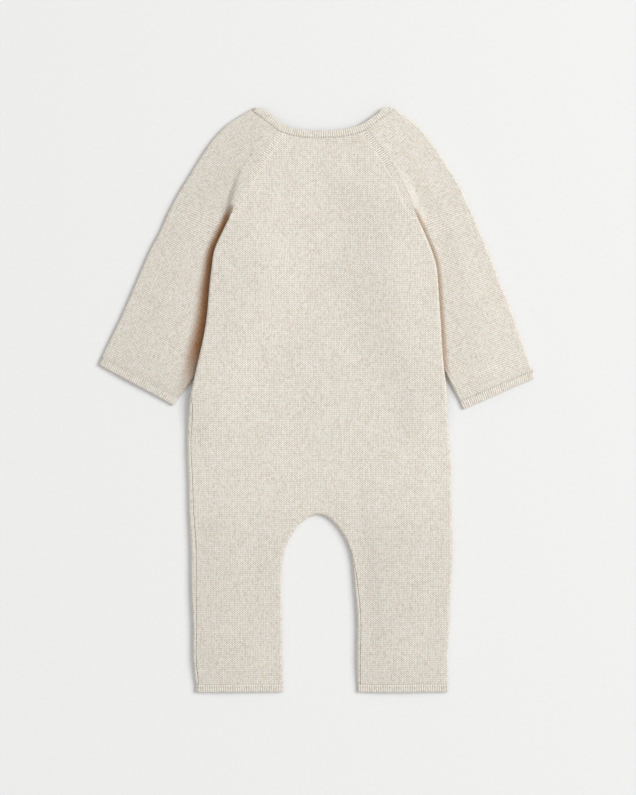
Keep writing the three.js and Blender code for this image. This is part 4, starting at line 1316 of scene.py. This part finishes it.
@dataclass
class RibBand(Piece):
    """Ribs on a narrow band that is knitted on and ends the cloth: a cuff or a leg's hem."""

    rib_pitch: float = 2.1
    rib_height: float = 0.55
    rib_columns: int = 4
    fold_steps: int = 10
    under_step: float = 5.0
    wall: float = 1.7
    seam_gap: float = -1.2
    shares: tuple[float, ...] = (0.0, 0.1, 0.3, 0.6, 0.88, 1.0)  # where each loop lies in the depth
    swells: tuple[float, ...] = (0.1, 0.7, 1.0, 1.0, 0.9, 0.6)  # how high the ribs are on it
    cloth_depth: float = 7.0

    def loop(self, end_a: RowEnd, end_b: RowEnd, ribs: int) -> tuple[Stitches, Array]:
        """Once round the flattened tube.

        Args:
            end_a: the folded end where the upper layer starts.
            end_b: the folded end where it stops.
            ribs: how many ribs the upper layer has.

        Returns:
            The points, and how far round the ribs each one is.
        """
        count = ribs * self.rib_columns
        under = math.ceil(ribs * self.rib_pitch / self.under_step)
        top = flat_run(end_a.base, end_b.base, np.arange(count + 1) / count, True)
        low = flat_run(end_b.base, end_a.base, np.arange(under + 1) / under, False)
        turns = np.arange(1, self.fold_steps) / self.fold_steps
        turn_b = fold_run(end_b, mix(end_b.quarter, -end_b.quarter, turns), Layer.UPPER)
        turn_a = fold_run(end_a, mix(-end_a.quarter, end_a.quarter, turns), Layer.UPPER)
        whole = Stitches.join([top, turn_b, low, turn_a])
        phase = np.zeros(len(whole))
        phase[: count + 1] = np.arange(count + 1) / self.rib_columns
        phase[count + 1 : count + self.fold_steps] = ribs
        return whole, phase

    def wave(self, phase: Array) -> Array:
        """How far up its rib each point lies, from 0 to 1."""
        return 0.5 - 0.5 * np.cos(2 * np.pi * phase)

    def swell(self, xyz: Array, phase: Array, count: int) -> Array:
        """Raises the ribs on the upper layer of a band."""
        raised = np.array(self.swells)[:, None] * self.wave(phase[None, :]) * self.rib_height
        xyz[:, :count, 2] += raised[:, :count]
        return xyz

    def make(self, name: str, loops: list[tuple[Stitches, Array]], heights: Heights, flip: bool) -> Any:
        """Makes the band from its loops, from the seam to the free edge."""
        rows = [Stitches.join([points, points[:1]]) for points, _ in loops]
        xyz, _ = with_height(rows, heights, self.wall)
        phase = loops[0][1]
        top = int(np.argmax(phase)) + 1
        xyz = self.swell(xyz, np.append(phase, 0.0), top)
        xyz[:, -1] = xyz[:, 0]
        along = self.along(xyz, phase[:top])
        drop = np.array(self.shares)[:, None] * np.ones_like(along) * self.cloth_depth
        knit = Knit(self.wall)
        knit.add(xyz, np.stack([along, -drop], axis=-1), flip)
        return knit.make(name)

    def along(self, xyz: Array, phase: Array) -> Array:
        """Each point's place along the band, counted in ribs on the upper layer."""
        lengths = step_lengths(xyz)
        lengths[:, : len(phase) - 1] = np.diff(phase) * self.rib_pitch
        return running_sum(lengths)


@dataclass
class Cuff(RibBand):
    """The ribbed band at the end of a sleeve."""

    side: Side = Side.LEFT

    def build(self) -> bpy.types.Object:
        """Lays out the cuff and makes its object."""
        cuff = CUFF_LEFT if self.side is Side.LEFT else CUFF_RIGHT
        over, under = PATTERN.ends(self.side, PATTERN.stations(self.side)[-1])
        free_over, free_under = PATTERN.ends(self.side, cuff)
        ribs = round(float(np.linalg.norm(over - under)) / self.rib_pitch)
        gap = self.seam_gap / float(np.linalg.norm(over - free_over))
        loops = []
        for share in self.shares:
            part = mix(gap, 1.0, share)
            start, stop = mix(over, free_over, part), mix(under, free_under, part)
            across = unit(stop - start)
            ends = (self.end(edge, way, LAY.sleeve_loft) for edge, way in ((start, -across), (stop, across)))
            loops.append(self.loop(*ends, ribs))
        flip = self.side is Side.RIGHT
        return self.make(f"cuff_{self.side.word}_knit", loops, sleeve_heights(self.side), flip)


@dataclass
class LegHem(RibBand):
    """The ribbed band at the end of a leg."""

    side: Side = Side.LEFT

    def build(self) -> bpy.types.Object:
        """Lays out the hem and makes its object."""
        part = 0.0 if self.side is Side.LEFT else 1.0
        curve = PATTERN.inseam
        inner = self.end(curve.at(part), curve.outward(part), LAY.body_loft)
        outward = np.array([self.side.value, 0.0])
        outer = self.end(PATTERN.edge(self.side, PATTERN.hem_down), outward, LAY.body_loft)
        ribs = round(float(np.linalg.norm(inner.base - outer.base)) / self.rib_pitch)
        loops = []
        for share in self.shares:
            down = PATTERN.hem_down + mix(self.seam_gap / 2, PATTERN.hem_depth, share)
            ends = (replace(end, base=plan_point(end.base[0], down)) for end in (outer, inner))
            loops.append(self.loop(*ends, ribs))
        return self.make(f"hem_{self.side.word}_knit", loops, body_heights(), self.side is Side.RIGHT)


@dataclass
class Neckband(RibBand):
    """The ribbed band round the neck, lying on itself, with a peak at each shoulder."""

    width: float = 6.6
    corner_reach: float = 4.0  # how far a corner of the neck line is rounded
    peak_turn: float = 12.0  # over what length the band turns to its peak
    under_steps: int = 60
    seam_peaks: tuple[tuple[float, float], ...] = ((-62.1, 3.4), (65.0, 3.4))
    edge_peaks: tuple[tuple[float, float], ...] = ((-55.7, -0.6), (58.4, -1.0))
    tip_width: float = 0.35  # a peak's tip, as part of the band's width
    tip_reach: float = 3.0
    neck_steps: int = 48
    corner_steps: int = 9
    measured_steps: int = 400

    def neck_line(self, neck: Neck, steps: int) -> Array:
        """The line that the band is sewn to, from the left peak to the right one."""
        left, right = (PATTERN.edge(side, neck.down) for side in Side)
        parts = np.arange(self.neck_steps + 1) / self.neck_steps
        sunk = left + (right - left) * parts[:, None]
        sunk[:, 1] -= neck.depth * (1 - np.abs(2 * parts - 1) ** neck.power)
        line = np.vstack([plan_point(*self.seam_peaks[0]), sunk, plan_point(*self.seam_peaks[1])])
        lengths = running_sum(step_lengths(line))
        want = np.linspace(0, lengths[-1], steps + 1)
        reach = np.minimum(self.corner_reach, np.minimum(want, lengths[-1] - want))
        nearby = want[:, None] + reach[:, None] * np.linspace(-1, 1, self.corner_steps)
        return np.column_stack([np.interp(nearby, lengths, line[:, i]).mean(1) for i in (0, 1)])

    def edges(self, line: Array) -> tuple[Array, Array]:
        """The sewn edge and the free edge of one half of the band."""
        steps = len(line) - 1
        near = max(1, steps // self.under_steps)
        before = line[np.maximum(np.arange(steps + 1) - near, 0)]
        after = line[np.minimum(np.arange(steps + 1) + near, steps)]
        along = (after - before) / np.linalg.norm(after - before, axis=1)[:, None]
        upward = np.column_stack([-along[:, 1], along[:, 0]])
        total = float(step_lengths(line).sum())
        from_end = np.minimum(np.arange(steps + 1), steps - np.arange(steps + 1)) * total / steps
        turn = smooth_step(from_end / self.peak_turn)[:, None]
        leans = (np.array(self.edge_peaks) - np.array(self.seam_peaks)) * (1, -1)
        peak = leans[(np.arange(steps + 1) >= steps / 2).astype(int)]
        reach = np.linalg.norm(peak, axis=1)[:, None]
        direction = mix(peak / reach, upward, turn)
        direction /= np.linalg.norm(direction, axis=1)[:, None]
        inward = np.clip(1 - from_end / self.tip_reach, 0, 1)[:, None]
        rounded = mix(self.tip_width, 1.0, np.sqrt(1 - inward**2))
        return line + upward * self.seam_gap / 2, line + direction * mix(reach, self.width, turn) * rounded

    def top_at(self, points: Array) -> Array:
        """The height of the cloth that the band is sewn to."""
        limits = [PATTERN.edge(side, BACK_NECK.down)[0] for side in Side]
        left, right = (LAY.sleeve_top(side, points) for side in Side)
        beside = np.where(points[:, 0] > limits[1], right, LAY.body_top(points))
        return np.where(points[:, 0] < limits[0], left, beside)

    def build(self) -> bpy.types.Object:
        """Lays out the neckband and makes its object."""
        length = float(step_lengths(self.neck_line(BACK_NECK, self.measured_steps)).sum())
        ribs = round(length / self.rib_pitch)
        count = ribs * self.rib_columns
        back_sewn, back_free = self.edges(self.neck_line(BACK_NECK, count))
        front = self.edges(self.neck_line(FRONT_NECK, self.under_steps))
        front_sewn, front_free = (edge[::-1] for edge in front)
        tops = self.top_at(back_sewn) - self.wall / 2
        phase = np.arange(count + 1) / self.rib_columns
        wave = self.wave(phase)
        columns = []
        for share, swell in zip(self.shares, self.swells):
            back = np.column_stack([mix(back_sewn, back_free, share), tops + swell * wave * self.rib_height])
            level = np.full(len(front_sewn), self.wall / 2)
            front = np.column_stack([mix(front_sewn, front_free, share), level])
            turns = self.turn(back[-1], front[0]), self.turn(front[-1], back[0])
            columns.append(np.vstack([back, turns[0], front, turns[1], back[:1]]))
        xyz = np.stack(columns, axis=0)
        along = self.along(xyz, phase)
        drop = np.array(self.shares)[:, None] * np.ones_like(along) * self.width
        knit = Knit(self.wall)
        knit.add(xyz, np.stack([along, drop], axis=-1), True)
        return knit.make("neckband_knit")

    def turn(self, start: Array, end: Array) -> Array:
        """Points of a shoulder peak, from one layer round to the other."""
        angles = np.pi * np.arange(1, self.fold_steps) / self.fold_steps
        points = start + (end - start) * ((1 - np.cos(angles)) / 2)[:, None]
        points[:, 1] += abs(start[2] - end[2]) / 2 * np.sin(angles)
        return points


@dataclass
class Studio:
    """The floor, the soft lights and the camera straight above."""

    view_height: float = 731.4 * MM  # the photograph's field at the cloth's level, and its middle
    centre_x: float = 1.49 * MM
    centre_y: float = 2.11 * MM
    cloth_level: float = 6.0 * MM
    camera_height: float = 2.4
    sensor: float = 36.0
    floor_size: float = 8.0
    room_light: float = 0.55
    lamps: tuple[tuple[str, tuple[float, float, float], float, float], ...] = (
        ("window", (4.25, 1.7, 4.4), 3.7, 300.0),
        ("fill", (-1.6, -1.1, 2.0), 2.4, 9.0),
    )

    def floor(self) -> None:
        """Adds the paper that the garment lies on."""
        bpy.ops.mesh.primitive_plane_add(size=self.floor_size, location=(0, 0, 0))
        paper = bpy.context.object
        paper.name = "paper"
        paper.data.materials.append(StudioPaper().make())
        paper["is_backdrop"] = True

    def camera(self) -> None:
        """Adds the camera, which frames the photograph's field at the cloth's level."""
        height = self.camera_height
        bpy.ops.object.camera_add(location=(self.centre_x, self.centre_y, height + self.cloth_level))
        camera = bpy.context.object
        camera.rotation_euler = (0.0, 0.0, 0.0)
        camera.data.sensor_fit = "VERTICAL"
        camera.data.sensor_height = self.sensor
        camera.data.lens = self.sensor * height / self.view_height
        camera.data.clip_end = 20.0
        bpy.context.scene.camera = camera

    def lights(self) -> None:
        """Adds the large soft light from the upper right, a fill and the room's own light."""
        for lamp in self.lamps:
            self.area(*lamp)
        world = bpy.data.worlds.new("room")
        bpy.context.scene.world = world
        world.use_nodes = True
        tree = world.node_tree
        tree.nodes.clear()
        light = add_node(tree, "Background", {"Color": (1.0, 1.0, 1.0, 1.0), "Strength": self.room_light})
        add_node(tree, "OutputWorld", {"Surface": light})

    def area(self, name: str, place: tuple[float, float, float], size: float, power: float) -> None:
        """Adds a square light aimed at the middle of the garment.

        Args:
            name: the light's name.
            place: where it hangs.
            size: the length of its side.
            power: its power in watts.
        """
        bpy.ops.object.light_add(type="AREA", location=place)
        light = bpy.context.object
        light.name = name
        light.data.shape = "SQUARE"
        light.data.size = size
        light.data.energy = power
        light.rotation_euler = (Vector((0, 0, 0)) - Vector(place)).to_track_quat("-Z", "Y").to_euler()

    def colour_view(self) -> None:
        """Shows colours plainly, as the photograph does."""
        view = bpy.context.scene.view_settings
        view.view_transform = "Standard"
        view.look = "None"
        view.exposure = 0.0
        view.gamma = 1.0

    def build(self) -> None:
        """Sets up the studio."""
        bpy.ops.object.select_all(action="DESELECT")
        self.floor()
        self.lights()
        self.camera()
        self.colour_view()


@dataclass(frozen=True)
class Arm:
    """What differs between the two sleeves."""

    side: Side
    seam: float  # how far the underarm seam lies from the fold
    # how light the sleeve and its cuff are: the left ones are painted darker, as shade where that side slopes
    # away from the light
    tone: float
    tint: str  # the painted shadow beside the body, and its widths
    shadow_widths: tuple[float, float]
    area: float  # the whole cut, in square metres


ARMS = (
    Arm(Side.LEFT, -2.6, 0.94, "#a97e5c", (9.0, 17.0), 0.0354),
    Arm(Side.RIGHT, 3.6, 1.0, "#d4c3b6", (5.0, 6.5), 0.0333),
)


def write_sizes() -> None:
    """Measures the box of the CAD model and that of the dressed model, and keeps neither."""
    low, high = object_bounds()
    boxes = {"cad": [list(CAD_BOX[0]), list(CAD_BOX[1])], "visual": [list(low), list(high)]}


def main() -> None:
    """Builds the garment and the studio."""
    logging.basicConfig(level=logging.INFO, format="%(message)s")
    Studio().build()
    jersey = MelangeKnit(ladder=0.55).make()
    arm_jersey = MelangeKnit(name="melange stocking stitch, sleeves", course=1.75, slant=0.7, marks=0.75)
    rib = MelangeKnit(name="melange rib", wale=2.1, course=1.6, slack=0.1, groove=0.3, relief=0.3)

    back = BodyPanel(Layer.UPPER, BACK_NECK, 30.0).build()
    dress(back, jersey, "jersey_knit", "back_panel")
    front = BodyPanel(Layer.LOWER, FRONT_NECK, 48.0, row_step=6.0).build()
    dress(front, jersey, "jersey_knit", "front_panel")
    neckband = Neckband().build()
    neck_rib = replace(rib, name="melange rib, neck", lines=((0.9, 1.2, 0.84),))
    dress(neckband, neck_rib.make(), "rib_knit", "neckband")
    hem_lines = ((0.9, 0.8, 1.08), (2.4, 0.9, 0.9))
    hem_rib = replace(rib, name="melange rib, hems", lines=hem_lines, leg_starts=-9.0, leg_full=-8.0).make()
    hems = []
    for side in Side:
        hems.append(LegHem(side=side).build())
        dress(hems[-1], hem_rib, "rib_knit", f"hem_{side.word}")
    for arm in ARMS:
        word, tone, area = arm.side.word, arm.tone, arm.area
        sleeve = Sleeve(arm.side, arm.seam).build()
        # each sleeve's painted shadow beside the body
        fold = {"painted_shadow_tint": arm.tint, "painted_shadow_widths": arm.shadow_widths}
        knit = replace(arm_jersey, name=f"{arm_jersey.name}, {word}", tone=tone, **fold)
        dress(sleeve, knit.make(), "jersey_knit", f"sleeve_{word}")
        cuff = Cuff(side=arm.side).build()
        cuff_rib = replace(rib, name=f"melange rib, {word} cuff", tone=tone, lines=((0.9, 1.0, 0.85),))
        dress(cuff, cuff_rib.make(), "rib_knit", f"cuff_{word}")
    write_sizes()


if __name__ == "__main__":
    main()
